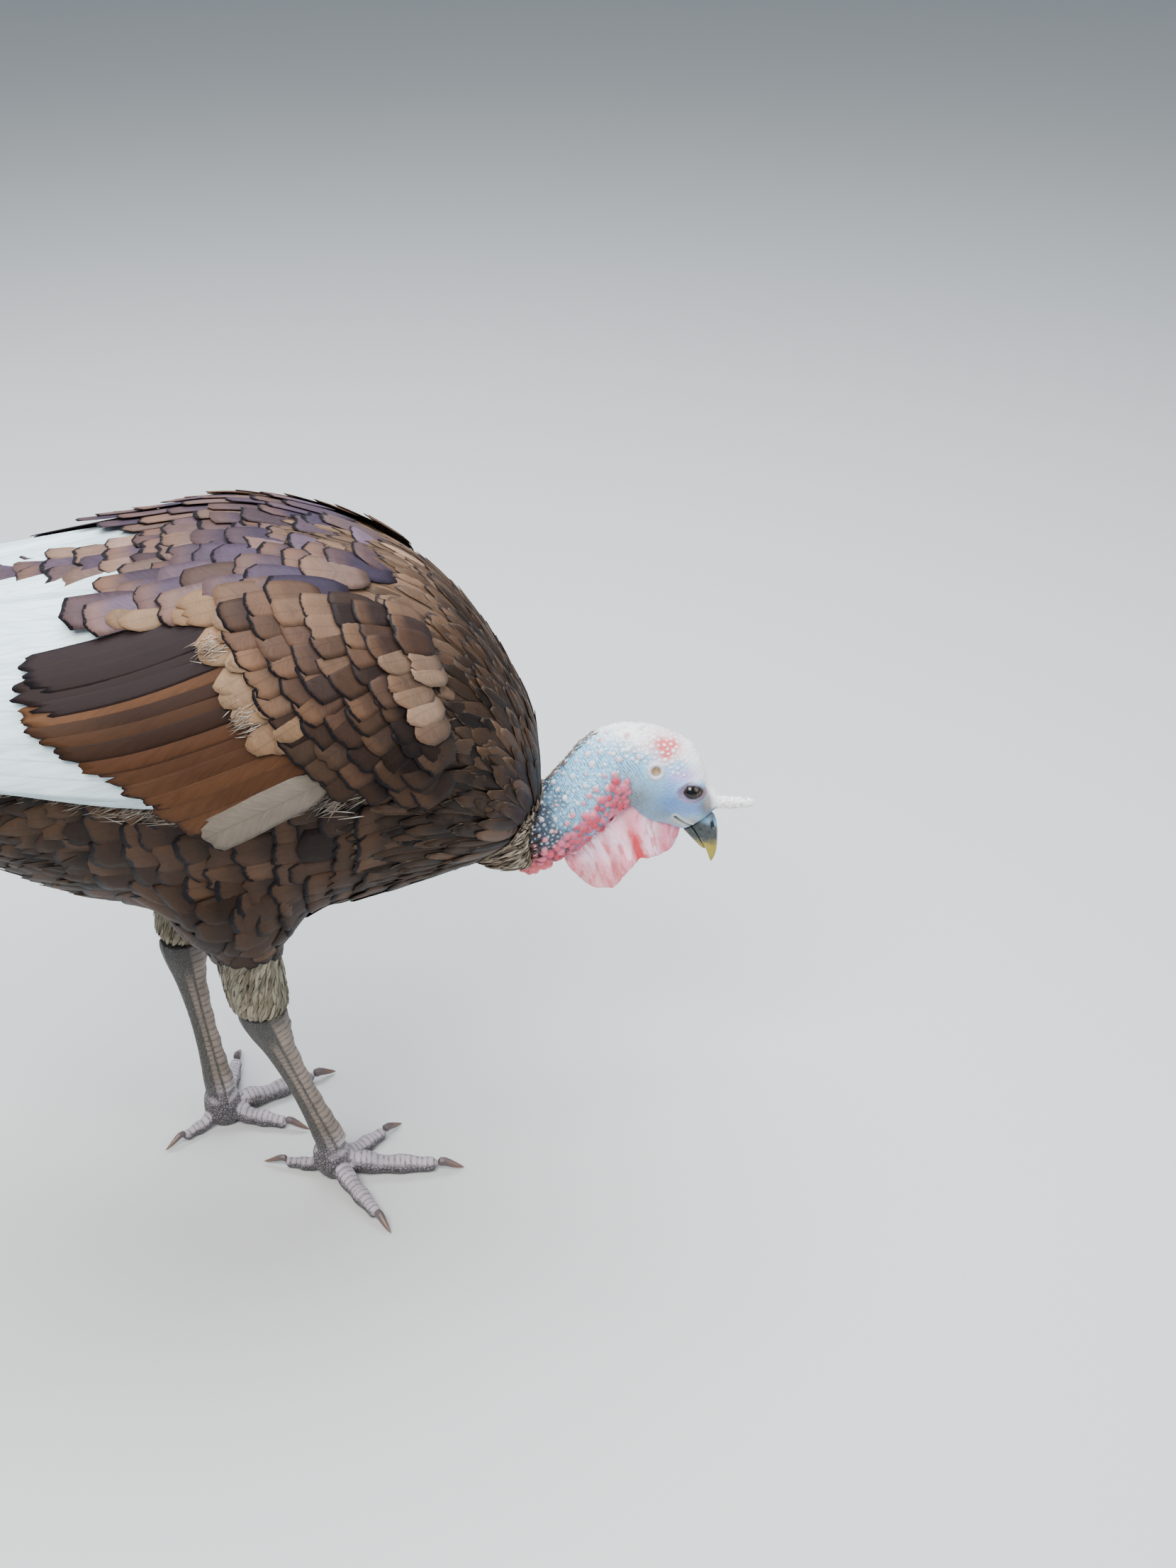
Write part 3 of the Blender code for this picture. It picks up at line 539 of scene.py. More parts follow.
@dataclass(frozen=True)
class FeatherFinish:
    """The vane of a feather: barbs, shaft, dark end, warm zone, cross bars, and painted shade towards the
    root.

    The mesh stores a tint for each feather, and marks: the share of the length that is dark
    at the end, the strength of the warm zone, the strength of the bars, and a random number.
    """

    name: str
    end_colour: Colour = (0.008, 0.007, 0.009)
    zone_colour: Colour = (0.20, 0.105, 0.055)
    bar_colour: Colour = (0.012, 0.009, 0.008)
    bars: float = 4.0
    roughness: float = 0.42
    sheen: float = 0.012
    sheen_tint: Colour = (0.70, 0.58, 0.75)
    barb_depth: float = 0.16
    fringe_colour: Colour = (0.24, 0.17, 0.11)

    def make(self) -> Material:
        """Builds the material.

        Returns:
            The material.
        """
        board = PaintBoard(self.name)
        u, along, _ = board.split(board.add("ShaderNodeUVMap", {"uv_map": VANE_MAP}, {}))
        tint = board.stored("tint")
        fringe = board.stored("tint", "Alpha")
        end, zone, bar = board.split(board.stored("marks"))
        chance = board.stored("marks", "Alpha")
        across = abs(u - 0.5) * 2.0
        barb = along - across * 0.22
        clumps = board.noise(board.joined(barb * 26.0, across * 1.6, chance * 61.0), 1.0, 3.0)
        blotch = board.noise(board.joined(u * 1.4, along * 2.0, chance * 97.0), 1.3, 2.0)
        shade = 0.52 + clumps * 0.70 + blotch * 0.26
        colour = board.shaded(tint, shade)
        worn = along + (clumps - 0.5) * 0.10
        dark_from = 1.0 - end
        warm = worn.ease(dark_from - 0.42, dark_from - 0.10) * zone
        colour = board.mix(warm, colour, self.zone_colour)
        wave = ((barb + (blotch - 0.5) * 0.05) * (2 * math.pi * self.bars)).sine()
        colour = board.mix(wave.ease(0.1, 0.5) * bar, colour, self.bar_colour)
        tip = worn.ease(dark_from - 0.015, dark_from + 0.02) * end.ease(0.0, 0.01)
        colour = board.mix(tip, colour, self.end_colour)
        shaft = 1.0 - across.ease(0.02, 0.07)
        colour = board.mix(shaft * 0.35, colour, board.mix(0.5, tint, (0.03, 0.02, 0.015)))
        side_edge = across.ease(0.72, 1.0)
        # Darker side edges are a marking of the vane; the darkening towards the root is painted shade,
        # where the feathers above overlap it.
        rim = side_edge * (1.0 - fringe) * 0.16 + (1.0 - along.ease(0.0, 0.35)) * 0.35
        colour = board.mix(rim, colour, (0.008, 0.006, 0.005))
        pale = (side_edge + worn.ease(0.90, 1.0)) * fringe * along.ease(0.25, 0.6)
        colour = board.mix(pale.ease(0.0, 1.0), colour, self.fringe_colour)
        ridges = (barb * 420.0 + clumps * 5.0).sine() * 0.3 + clumps + shaft * 0.6
        return board.finish(
            Base_Color=colour,
            Roughness=self.roughness + clumps * 0.2 - tip * 0.08,
            Normal=board.bump(ridges, self.barb_depth, 0.0008),
            Sheen_Weight=self.sheen,
            Sheen_Roughness=0.35,
            Sheen_Tint=self.sheen_tint,
            Specular_IOR_Level=0.09,
        )


@dataclass(frozen=True)
class CoatSkinFinish:
    """The skin under the plumage, painted with the plumage's own colours."""

    name: str = "under_plumage"

    def make(self) -> Material:
        """Builds the material.

        Returns:
            The material.
        """
        board = PaintBoard(self.name)
        streaks = board.noise(board.places(), 160.0, 3.0)
        shade = 0.35 + streaks * 0.5
        colour = board.shaded(board.stored("tint"), shade)
        return board.finish(
            Base_Color=colour, Roughness=0.85, Normal=board.bump(streaks, 0.6, 0.002)
        )


@dataclass(frozen=True)
class BareSkinFinish:
    """Bare skin of the head and neck: painted colour, fine creases with painted shade in them, and soft
    light in it.
    """

    name: str
    crease_scale: float = 620.0
    crease_depth: float = 0.5
    roughness: float = 0.44
    glow: float = 0.10
    glow_radius: Colour = (0.004, 0.0015, 0.001)
    wrinkle_way: Triple = (0.823, 0.063, 0.564)
    wrinkle_step: float = 0.0017

    def make(self) -> Material:
        """Builds the material.

        Returns:
            The material.
        """
        board = PaintBoard(self.name)
        places = board.places()
        warp = board.noise(places, 90.0, 2.0)
        creases = board.cells(places, self.crease_scale)
        fine = board.noise(places, self.crease_scale * 1.7, 3.0)
        pores = creases.ease(0.15, 0.75) * 0.6 + fine * 0.4
        settings = {"operation": "DOT_PRODUCT"}
        terms = {0: places, 1: self.wrinkle_way}
        along = board.add("ShaderNodeVectorMath", settings, terms, "Value")
        wave = (along * (2 * math.pi / self.wrinkle_step) + warp * 22.0).sine()
        breaks = board.noise(places, 260.0, 2.0).ease(0.36, 0.60)
        wrinkle = wave.ease(0.15, 0.95) * board.stored("paint", "Alpha") * breaks
        # The wrinkles also darken the colour: painted shade in the creases.
        shade = 0.86 + warp * 0.14 + (1.0 - pores) * 0.18 - wrinkle * 0.66
        colour = board.shaded(board.stored("paint"), shade)
        return board.finish(
            Base_Color=colour,
            Roughness=self.roughness + pores * 0.14,
            Normal=board.bump(1.0 - pores - wrinkle, self.crease_depth, 0.0007),
            Subsurface_Weight=self.glow,
            Subsurface_Radius=self.glow_radius,
            Subsurface_Scale=1.0,
        )


@dataclass(frozen=True)
class HornFinish:
    """Bill and claws: painted colour with growth lines along the horn."""

    name: str
    grain: Triple = (300.0, 900.0, 300.0)

    def make(self) -> Material:
        """Builds the material.

        Returns:
            The material.
        """
        board = PaintBoard(self.name)
        terms = {"Vector": board.places(), "Scale": self.grain}
        stretched = board.add("ShaderNodeMapping", {}, terms)
        lines = board.noise(stretched, 1.0, 4.0)
        specks = board.noise(board.places(), 700.0, 2.0)
        shade = 0.72 + lines * 0.36 + specks * 0.14
        colour = board.shaded(board.stored("paint"), shade)
        return board.finish(
            Base_Color=colour,
            Roughness=0.36 + specks * 0.2,
            Normal=board.bump(lines + specks * 0.4, 0.35, 0.0004),
            Coat_Weight=0.15,
        )


@dataclass(frozen=True)
class ScuteFinish:
    """Leg skin: big plates down the front, small scales elsewhere, paler plates, dark seams."""

    name: str = "leg_scales"
    scale_density: float = 470.0
    seam_colour: Colour = (0.035, 0.034, 0.032)

    def make(self) -> Material:
        """Builds the material.

        Returns:
            The material.
        """
        board = PaintBoard(self.name)
        places = board.places()
        plate = board.stored("plates", "Fac")
        front = board.stored("plates", "Alpha")
        cells = board.cells(places, self.scale_density, "DISTANCE_TO_EDGE")
        scale = cells.ease(0.03, 0.22)
        dirt = board.noise(places, 60.0, 4.0)
        raised = scale * (1.0 - front) + plate * front
        colour = board.mix(raised * 0.85 + 0.05, self.seam_colour, board.stored("paint"))
        colour = board.mix(dirt.ease(0.50, 0.75) * 0.45, colour, (0.06, 0.05, 0.042))
        return board.finish(
            Base_Color=colour,
            Roughness=0.50 + dirt * 0.22,
            Normal=board.bump(raised - plate * front * 0.5, 0.75, 0.0007),
        )


@dataclass(frozen=True)
class EyeFinish:
    """A wet dark eye: black pupil, brown iris and a clear coat."""

    name: str = "wet_eye"
    pupil: float = 0.44
    iris_edge: float = 0.86

    def make(self) -> Material:
        """Builds the material.

        Returns:
            The material.
        """
        board = PaintBoard(self.name)
        from_axis = board.stored("ring", "Fac")
        fibres = board.noise(board.places(), 1500.0, 3.0)
        iris = board.mix(fibres, (0.016, 0.008, 0.005), (0.050, 0.023, 0.012))
        dark = from_axis.ease(self.pupil - 0.03, self.pupil + 0.03)
        colour = board.mix(dark, (0.003, 0.003, 0.004), iris)
        rim = from_axis.ease(self.iris_edge, self.iris_edge + 0.08)
        colour = board.mix(rim, colour, (0.02, 0.015, 0.015))
        return board.finish(
            Base_Color=colour,
            Roughness=0.15,
            Coat_Weight=0.45,
            Coat_Roughness=0.03,
            Specular_IOR_Level=0.25,
        )


@dataclass(frozen=True)
class FloorFinish:
    """A plain pale floor with the faintest unevenness."""

    name: str = "pale_floor"
    colour: Colour = (0.62, 0.63, 0.62)

    def make(self) -> Material:
        """Builds the material.

        Returns:
            The material.
        """
        board = PaintBoard(self.name)
        cloud = board.noise(board.places(), 1.5, 3.0)
        tone = board.mix(cloud * 0.10, self.colour, (0.50, 0.50, 0.49))
        return board.finish(Base_Color=tone, Roughness=0.85)


# Feathers


@dataclass(frozen=True)
class Cut:
    """The outline of a kind of feather, as shares of its length and half width.

    Args:
        columns: Faces across the vane.
        rows: Faces along the vane.
        widths: Half width at even steps from root to end.
        round_end: How much shorter the vane's edges are than its middle.
        power: How suddenly the edges fall back; high is square-ended.
        ragged: How unevenly the end is frayed.
        camber: How far the shaft stands above the edges, as a share of the width.
    """

    columns: int
    rows: int
    widths: tuple[float, ...]
    round_end: float
    power: float
    ragged: float
    camber: float = 0.10


class FeatherKind(Enum):
    """The cuts of feather that the bird wears."""

    SQUARE = Cut(5, 6, (0.42, 0.84, 0.97, 1.0, 1.0, 0.97), 0.085, 3.2, 0.014, 0.020)
    SMALL = Cut(5, 5, (0.45, 0.88, 1.0, 1.0, 0.97, 0.92), 0.13, 2.8, 0.018, 0.030)
    ROUND = Cut(6, 6, (0.38, 0.80, 0.97, 1.0, 1.0, 0.97), 0.34, 2.0, 0.022, 0.060)
    NARROW = Cut(3, 6, (0.45, 0.90, 1.0, 1.0, 0.96, 0.80), 0.17, 2.3, 0.022, 0.050)
    PLUME = Cut(5, 5, (0.35, 0.75, 0.95, 1.0, 1.0, 0.95), 0.30, 1.6, 0.080, 0.060)
    TUFT = Cut(2, 4, (0.5, 0.95, 1.0, 0.75, 0.35), 0.30, 1.6, 0.080, 0.120)
    COVERT = Cut(12, 14, (0.42, 0.86, 0.98, 1.0, 1.0, 0.94), 0.085, 2.6, 0.012, 0.050)
    FLIGHT = Cut(10, 18, (0.45, 0.90, 1.0, 1.0, 0.98, 0.90), 0.08, 2.4, 0.010, 0.045)


def vane_thickness(widths: Array) -> Array:
    """How thick each feather is: hair-like ones are thinner."""
    return np.minimum(VANE_THICKNESS, 0.35 * widths)


def bulge(kind: FeatherKind, widths: Array, across: Array) -> Array:
    """How far each vane's middle stands above its edges."""
    return kind.value.camber * widths[:, None] * (1 - across**2)


@dataclass
class VaneMould:
    """A closed vane modelled once: its places across, along and through, and its faces."""

    across: Array
    along: Array
    through: Array
    faces: Array

    @classmethod
    def of(cls, cut: Cut) -> "VaneMould":
        """Models a flat closed slab with the cut's rows and columns.

        Args:
            cut: The outline that gives them.

        Returns:
            The mould.
        """
        deselect_all()
        bpy.ops.mesh.primitive_grid_add(x_subdivisions=cut.columns, y_subdivisions=cut.rows, size=2.0)
        slab = bpy.context.object
        solid = slab.modifiers.new("slab", "SOLIDIFY")
        solid.thickness = 1.0
        solid.offset = 0.0
        apply_modifiers(slab)
        points = read_points(slab)
        faces = np.array([tuple(face.vertices) for face in slab.data.polygons])
        bpy.data.objects.remove(slab)
        return cls(points[:, 0], (points[:, 1] + 1) / 2, np.sign(points[:, 2]) / 2, faces)


class FeatherBatch:
    """Many feathers gathered into one piece.

    Args:
        name: The piece's name.
        rng: Source of the feathers' variation.
    """

    moulds: dict[FeatherKind, VaneMould] = {}

    def __init__(self, name: str, rng: Dice) -> None:
        """Starts an empty batch."""
        self.name = name
        self.rng = rng
        parts = ("points", "faces", VANE_MAP, BAKE_MAP, "tint", "marks")
        self.blocks: dict[str, list[Array]] = {part: [] for part in parts}

    @classmethod
    def mould(cls, kind: FeatherKind) -> VaneMould:
        """The mould of a kind, modelled when first asked for.

        Args:
            kind: The feather's cut.

        Returns:
            Its mould.
        """
        if kind not in cls.moulds:
            cls.moulds[kind] = VaneMould.of(kind.value)
        return cls.moulds[kind]

    @classmethod
    def grid(cls, kind: FeatherKind, number: int, rng: Dice) -> tuple[Array, Array, Array]:
        """Where each vertex of each feather lies on its vane.

        Args:
            kind: The feather's cut.
            number: How many feathers.
            rng: Source of the fraying.

        Returns:
            Places across from -1 to 1, along from 0 to 1, and through, for each feather.
        """
        cut, mould = kind.value, cls.mould(kind)
        widths = np.interp(mould.along, np.linspace(0, 1, len(cut.widths)), cut.widths)
        fall = 1 - cut.round_end * np.abs(mould.across) ** cut.power
        column = np.round((mould.across + 1) * cut.columns / 2).astype(int)
        teeth = rng.normal(0.0, cut.ragged, (number, cut.columns + 1))
        teeth -= 5 * cut.ragged * (rng.random(teeth.shape) < 0.09)
        along = mould.along * fall + teeth[:, column] * mould.along**5
        bend = rng.normal(0.0, 0.05, (number, 1)) * mould.along**2
        return mould.across * widths + bend, along, np.broadcast_to(mould.through, along.shape)

    def add(
        self, kind: FeatherKind, points: Array, tints: Array, marks: Array,
        roots: Array | None = None,
    ) -> None:
        """Adds laid feathers.

        Args:
            kind: Their cut.
            points: Vertex places, feather by feather.
            tints: A colour for each feather.
            marks: The marks that the finish reads, for each feather.
            roots: Each root's place on the skin's unwrap, or none for strips of their own.
        """
        mould = self.mould(kind)
        number, corners = points.shape[:2]
        start = sum(len(block) for block in self.blocks["points"])
        offsets = start + corners * np.arange(number)[:, None, None]
        place = np.stack([(mould.across + 1) / 2, mould.along], -1)
        if roots is None:
            side = math.ceil(math.sqrt(number))
            cell = np.stack([np.arange(number) % side, np.arange(number) // side], -1)
            spots = (cell[:, None] + 0.05 + 0.9 * place[None]) / side
        else:
            spots = roots[:, None] + (place[None] - 0.5) * ROOT_PATCH
        for part, block in (
            ("points", points.reshape(-1, 3)),
            ("faces", (mould.faces[None] + offsets).reshape(-1, 4)),
            (VANE_MAP, np.tile(place, (number, 1))),
            (BAKE_MAP, spots.reshape(-1, 2)),
            ("tint", np.repeat(tints, corners, axis=0)),
            ("marks", np.repeat(marks, corners, axis=0)),
        ):
            self.blocks[part].append(block)

    def build(self) -> Piece:
        """Makes the batch one object with its maps and marks.

        Returns:
            The object, with no finish.
        """
        whole = {part: np.vstack(blocks) for part, blocks in self.blocks.items()}
        piece = mesh_from_arrays(self.name, whole["points"], whole["faces"])
        for part in (VANE_MAP, BAKE_MAP):
            write_map(piece, part, whole[part])
        for part in ("tint", "marks"):
            write_colours(piece, part, whole[part])
        return piece


@dataclass(frozen=True)
class Palette:
    """Colours that a group of feathers varies between, and its marks.

    Args:
        colours: The colours to choose among.
        end: Share of the length that is dark at the end.
        zone: Strength of the warm zone before it.
        bar: Strength of the cross bars.
        fringe: Strength of the pale edge.
        spread: How much single feathers differ in lightness.
        low: Lightness of those low on the wing, beside 1 for the others; painted shade, as the lower wing
            lies out of the light.
    """

    colours: tuple[Colour, ...]
    end: float = 0.0
    zone: float = 0.0
    bar: float = 0.0
    fringe: float = 0.0
    spread: float = 0.16
    low: float = 1.0

    def pick(self, number: int, rng: Dice) -> tuple[Array, Array]:
        """Tints, with the strength of the pale edge last, and marks for a number of feathers.

        Args:
            number: How many feathers.
            rng: Source of the variation.

        Returns:
            Four values for each feather, twice.
        """
        chosen = np.array(self.colours)[rng.integers(0, len(self.colours), number)]
        other = np.array(self.colours)[rng.integers(0, len(self.colours), number)]
        tints = blend(chosen, other, rng.uniform(0, 0.5, number))
        tints = tints * np.exp(rng.normal(0.0, self.spread, (number, 1)))
        ends = self.end * rng.uniform(0.5, 1.3, number) * (rng.random(number) > 0.12)
        zones = self.zone * rng.random(number) ** 1.5
        bars = np.full(number, self.bar)
        edges = self.fringe * rng.uniform(0.3, 1.0, (number, 1))
        return np.hstack([tints, edges]), np.stack([ends, zones, bars, rng.random(number)], -1)


class Plumage(Enum):
    """The palettes of the bird's feather groups."""

    # Brown back feathers; the purple tinge of the darker ones is painted sheen, the blue sky's reflection
    # in glossy barbs.
    MANTLE = Palette(
        (
            (0.060, 0.042, 0.066), (0.074, 0.050, 0.068), (0.100, 0.060, 0.050),
            (0.036, 0.026, 0.044), (0.150, 0.096, 0.076), (0.046, 0.034, 0.056),
        ),
        end=0.055, zone=0.60, spread=0.26,
    )
    BREAST = Palette(
        ((0.010, 0.0065, 0.005), (0.024, 0.0135, 0.009), (0.007, 0.005, 0.0045), (0.042, 0.024, 0.015)),
        end=0.05, zone=0.18, fringe=0.34, spread=0.36,
    )
    SIDE = Palette(
        ((0.030, 0.017, 0.012), (0.044, 0.025, 0.017), (0.017, 0.011, 0.0095)),
        end=0.06, zone=0.32, spread=0.2,
    )
    NECK = Palette(
        ((0.33, 0.27, 0.20), (0.19, 0.135, 0.095), (0.080, 0.056, 0.043), (0.42, 0.36, 0.28)), fringe=0.4
    )
    BELLY = Palette(((0.020, 0.013, 0.010), (0.034, 0.021, 0.014), (0.013, 0.010, 0.009)), zone=0.2)
    RUMP = Palette(((0.075, 0.042, 0.025), (0.095, 0.052, 0.029)), end=0.04, zone=0.6, bar=0.85)
    DRUMSTICK = Palette(((0.20, 0.175, 0.125), (0.14, 0.118, 0.080), (0.26, 0.235, 0.175)), spread=0.10)
    SHOULDER = Palette(
        ((0.14, 0.088, 0.058), (0.10, 0.062, 0.043), (0.20, 0.130, 0.088)), end=0.012, zone=0.4
    )
    # Lower on the wing these take painted shade through low.
    LESSER = Palette(
        ((0.046, 0.025, 0.018), (0.026, 0.016, 0.014), (0.072, 0.039, 0.025), (0.098, 0.058, 0.038)),
        end=0.055, zone=0.50, spread=0.26, low=0.36,
    )
    MEDIAN = Palette(((0.155, 0.092, 0.052), (0.21, 0.135, 0.082)), zone=0.3, fringe=0.35, spread=0.12)
    DOWN = Palette(((0.32, 0.27, 0.22), (0.46, 0.41, 0.35), (0.17, 0.13, 0.10)), spread=0.12)
    FAN_DARK = Palette(((0.010, 0.0068, 0.0082), (0.017, 0.0100, 0.0100)), end=0.03, spread=0.15)
    FAN = Palette(
        ((0.048, 0.0200, 0.0095), (0.074, 0.032, 0.0145), (0.020, 0.0090, 0.0055)),
        end=0.012, zone=0.22, spread=0.14,
    )
    GREY = Palette(((0.150, 0.126, 0.102),), zone=0.15, spread=0.05)
    # The white flight feathers, tinted cyan with painted blue sky light.
    WHITE = Palette(((0.70, 0.84, 0.89), (0.64, 0.78, 0.83)), spread=0.04)
    TAIL = Palette(((0.78, 0.76, 0.71), (0.72, 0.69, 0.63)), bar=0.9, spread=0.05)


class Ground:
    """A skin that feathers are laid on.

    Args:
        piece: The object whose surface it is.
    """

    def __init__(self, piece: Piece) -> None:
        """Reads the surface once."""
        self.points = read_points(piece)
        self.normals = read_normals(piece)
        faces = [tuple(face.vertices) for face in piece.data.polygons]
        self.tree = BVHTree.FromPolygons([Vector(p) for p in self.points], faces)
        self.face_normals = unit(np.array([self.normals[list(face)].mean(0) for face in faces]))
        self.faces = faces

    def settle(self, points: Array) -> tuple[Array, Array]:
        """The nearest places on the skin, and the way that it faces there.

        Args:
            points: Places near the skin, in an array of any shape.

        Returns:
            Two arrays of the same shape.
        """
        flat = points.reshape(-1, 3)
        places, facing = np.empty_like(flat), np.empty_like(flat)
        for i, point in enumerate(flat):
            place, _, face, _ = self.tree.find_nearest(Vector(point))
            places[i], facing[i] = place, self.face_normals[face]
        return places.reshape(points.shape), facing.reshape(points.shape)

    def far_from(self, points: Array) -> Array:
        """How far each point is from the skin."""
        return np.array([self.tree.find_nearest(Vector(point))[3] for point in points])

    def candidates(self, spacing: float, rng: Dice) -> Array:
        """Random places all over the skin, a few for each square of the spacing.

        Args:
            spacing: Distance wanted between roots.
            rng: Source of the places.

        Returns:
            Places on the skin.
        """
        quads = self.points[np.array([face for face in self.faces if len(face) == 4])]
        diagonals = quads[:, 2] - quads[:, 0], quads[:, 3] - quads[:, 1]
        areas = np.linalg.norm(np.cross(*diagonals), axis=1) / 2
        wanted = int(6 * areas.sum() / spacing**2)
        chosen = rng.choice(len(quads), wanted, p=areas / areas.sum())
        s, t = rng.random((2, wanted, 1))
        q = quads[chosen]
        low = q[:, 0] * (1 - s) + q[:, 1] * s
        high = q[:, 3] * (1 - s) + q[:, 2] * s
        return low * (1 - t) + high * t

    def in_rows(self, spacing: float, rng: Dice) -> Array:
        """Root places in rows round the body, seen from a line along its middle.

        Args:
            spacing: Distance between rows and between the roots of a row.
            rng: Source of the unevenness.

        Returns:
            Places on the skin.
        """
        places = []
        for row, x in enumerate(np.arange(-0.190, 0.300, spacing)):
            near = (np.abs(self.points[:, 0] - x) < 0.008) & (np.abs(self.points[:, 1]) < 0.014)
            if not near.any():
                continue
            heights = self.points[near, 2]
            axis = Vector((x, 0.0, float(np.ptp(heights) / 2 + heights.min())))
            _, _, _, reach = self.tree.ray_cast(axis, Vector((0.0, 1.0, 0.0)))
            steps = round(2 * math.pi * (reach or 0.05) * 0.98 / spacing)
            for k in range(steps):
                turn = 2 * math.pi * (k + 0.5 * (row % 2) + rng.normal(0, 0.05)) / steps
                start = axis + Vector((rng.normal(0, 0.05) * spacing, 0.0, 0.0))
                hit = self.tree.ray_cast(start, Vector((0.0, math.sin(turn), math.cos(turn))))[0]
                if hit is not None:
                    places.append(hit)
        return self.settle(np.array(places))[0]

    def lay(
        self, kind: FeatherKind, roots: Array, flow: Array, lengths: Array, widths: Array,
        lifts: Array, slopes: Array, rng: Dice,
    ) -> Array:
        """Lays feathers on the skin.

        Args:
            kind: Their cut.
            roots: Where each grows.
            flow: Which way each points.
            lengths: Their lengths.
            widths: Their widths.
            lifts: How high each root stands off the skin.
            slopes: How fast each rises from the skin towards its end.
            rng: Source of the fraying.

        Returns:
            Vertex places for each feather.
        """
        base, facing = self.settle(roots)
        ahead = unit(flow - (flow * facing).sum(-1, keepdims=True) * facing)
        side = np.cross(ahead, facing)
        stations = [
            base + ahead * (lengths * v)[:, None] + side * (widths * u / 2)[:, None]
            for v in (0.0, 0.5, 1.0)
            for u in (-1.0, 0.0, 1.0)
        ]
        places, normals = self.settle(np.stack(stations, 1))
        across, along, through = FeatherBatch.grid(kind, len(roots), rng)
        u_shares = (across * (across - 1) / 2, 1 - across**2, across * (across + 1) / 2)
        v_shares = (
            2 * (along - 0.5) * (along - 1),
            -4 * along * (along - 1),
            2 * along * (along - 0.5),
        )
        shares = np.stack([v * u for v in v_shares for u in u_shares], -1)
        surface = np.einsum("nmk,nkd->nmd", shares, places)
        out = unit(np.einsum("nmk,nkd->nmd", shares, normals))
        camber = bulge(kind, widths, across) * (0.4 + 0.6 * along)
        height = lifts[:, None] + (slopes * lengths)[:, None] * along + camber
        return surface + out * (height + through * vane_thickness(widths)[:, None])[..., None]


# Folded wing


@dataclass(frozen=True)
class WingSurface:
    """The surface that the outside of a folded wing follows.

    Rows give x, half width, top, bottom and the height of the widest place; angles run from
    the top down the bird's right side.
    """

    rings: tuple[tuple[float, ...], ...] = (
        (-0.330, 0.045, 0.425, 0.300, 0.385),
        (-0.250, 0.060, 0.445, 0.300, 0.392),
        (-0.170, 0.080, 0.462, 0.300, 0.395),
        (-0.090, 0.103, 0.470, 0.280, 0.395),
        (-0.003, 0.127, 0.480, 0.260, 0.387),
        (0.067, 0.142, 0.490, 0.230, 0.377),
        (0.137, 0.147, 0.500, 0.210, 0.372),
        (0.197, 0.142, 0.490, 0.210, 0.366),
        (0.247, 0.125, 0.468, 0.220, 0.356),
        (0.285, 0.095, 0.427, 0.240, 0.340),
    )
    step: float = 0.002

    def sizes(self, x: Array) -> Array:
        """Half width, top, bottom and widest height at x."""
        table = np.array(self.rings)
        return curve_through(table[:, 1:], np.interp(x, table[:, 0], range(len(table))))

    def on(self, x: Array, angle: Array) -> Array:
        """Points of the surface at x and an angle in radians.

        Args:
            x: Places along the bird.
            angle: Turns from the top, down the right side.

        Returns:
            A point for each.
        """
        half_width, top, bottom, widest = np.moveaxis(self.sizes(x), -1, 0)
        rise = np.cos(angle)
        reach = np.where(rise > 0, top - widest, widest - bottom)
        return np.stack([x, -half_width * np.sin(angle), widest + reach * rise], -1)

    def above(self, x: Array, angle: Array, lift: Array) -> Array:
        """The same points moved outwards by lift.

        Args:
            x: Places along the bird.
            angle: Turns from the top.
            lift: Distances from the surface.

        Returns:
            A point for each.
        """
        along = self.on(x + self.step, angle) - self.on(x - self.step, angle)
        around = self.on(x, angle + self.step) - self.on(x, angle - self.step)
        return self.on(x, angle) - unit(np.cross(along, around)) * np.asarray(lift)[..., None]

    def lay(
        self, kind: FeatherKind, roots: Array, tips: Array, widths: Array, lifts: Array,
        tilts: Array, rng: Dice, left: bool,
    ) -> Array:
        """Lays feathers between places given as x and degrees.

        Args:
            kind: Their cut.
            roots: Root places.
            tips: End places.
            widths: Their widths.
            lifts: Height at the root and at the end, for each.
            tilts: How much each leans over the one below it.
            rng: Source of the fraying.
            left: Whether this is the bird's left side.

        Returns:
            Vertex places for each feather.
        """
        across, along, through = FeatherBatch.grid(kind, len(roots), rng)
        if left:
            across = -across
        run = tips - roots
        radius = self.sizes(roots[:, 0])[:, 0]
        flat = unit(np.stack([run[:, 0], np.radians(run[:, 1]) * radius], -1))
        x = roots[:, :1] + run[:, :1] * along
        angle = np.radians(roots[:, 1:] + run[:, 1:] * along)
        offset = across * widths[:, None] / 2
        x = x - flat[:, 1:] * offset
        local = np.maximum(self.sizes(x)[..., 0], 0.03)
        angle = angle + flat[:, :1] * offset / local
        camber = bulge(kind, widths, across)
        height = lifts[:, :1] + (lifts[:, 1:] - lifts[:, :1]) * along - tilts[:, None] * offset
        points = self.above(x, angle, height + camber + through * vane_thickness(widths)[:, None])
        if left:
            points[..., 1] *= -1
        return points


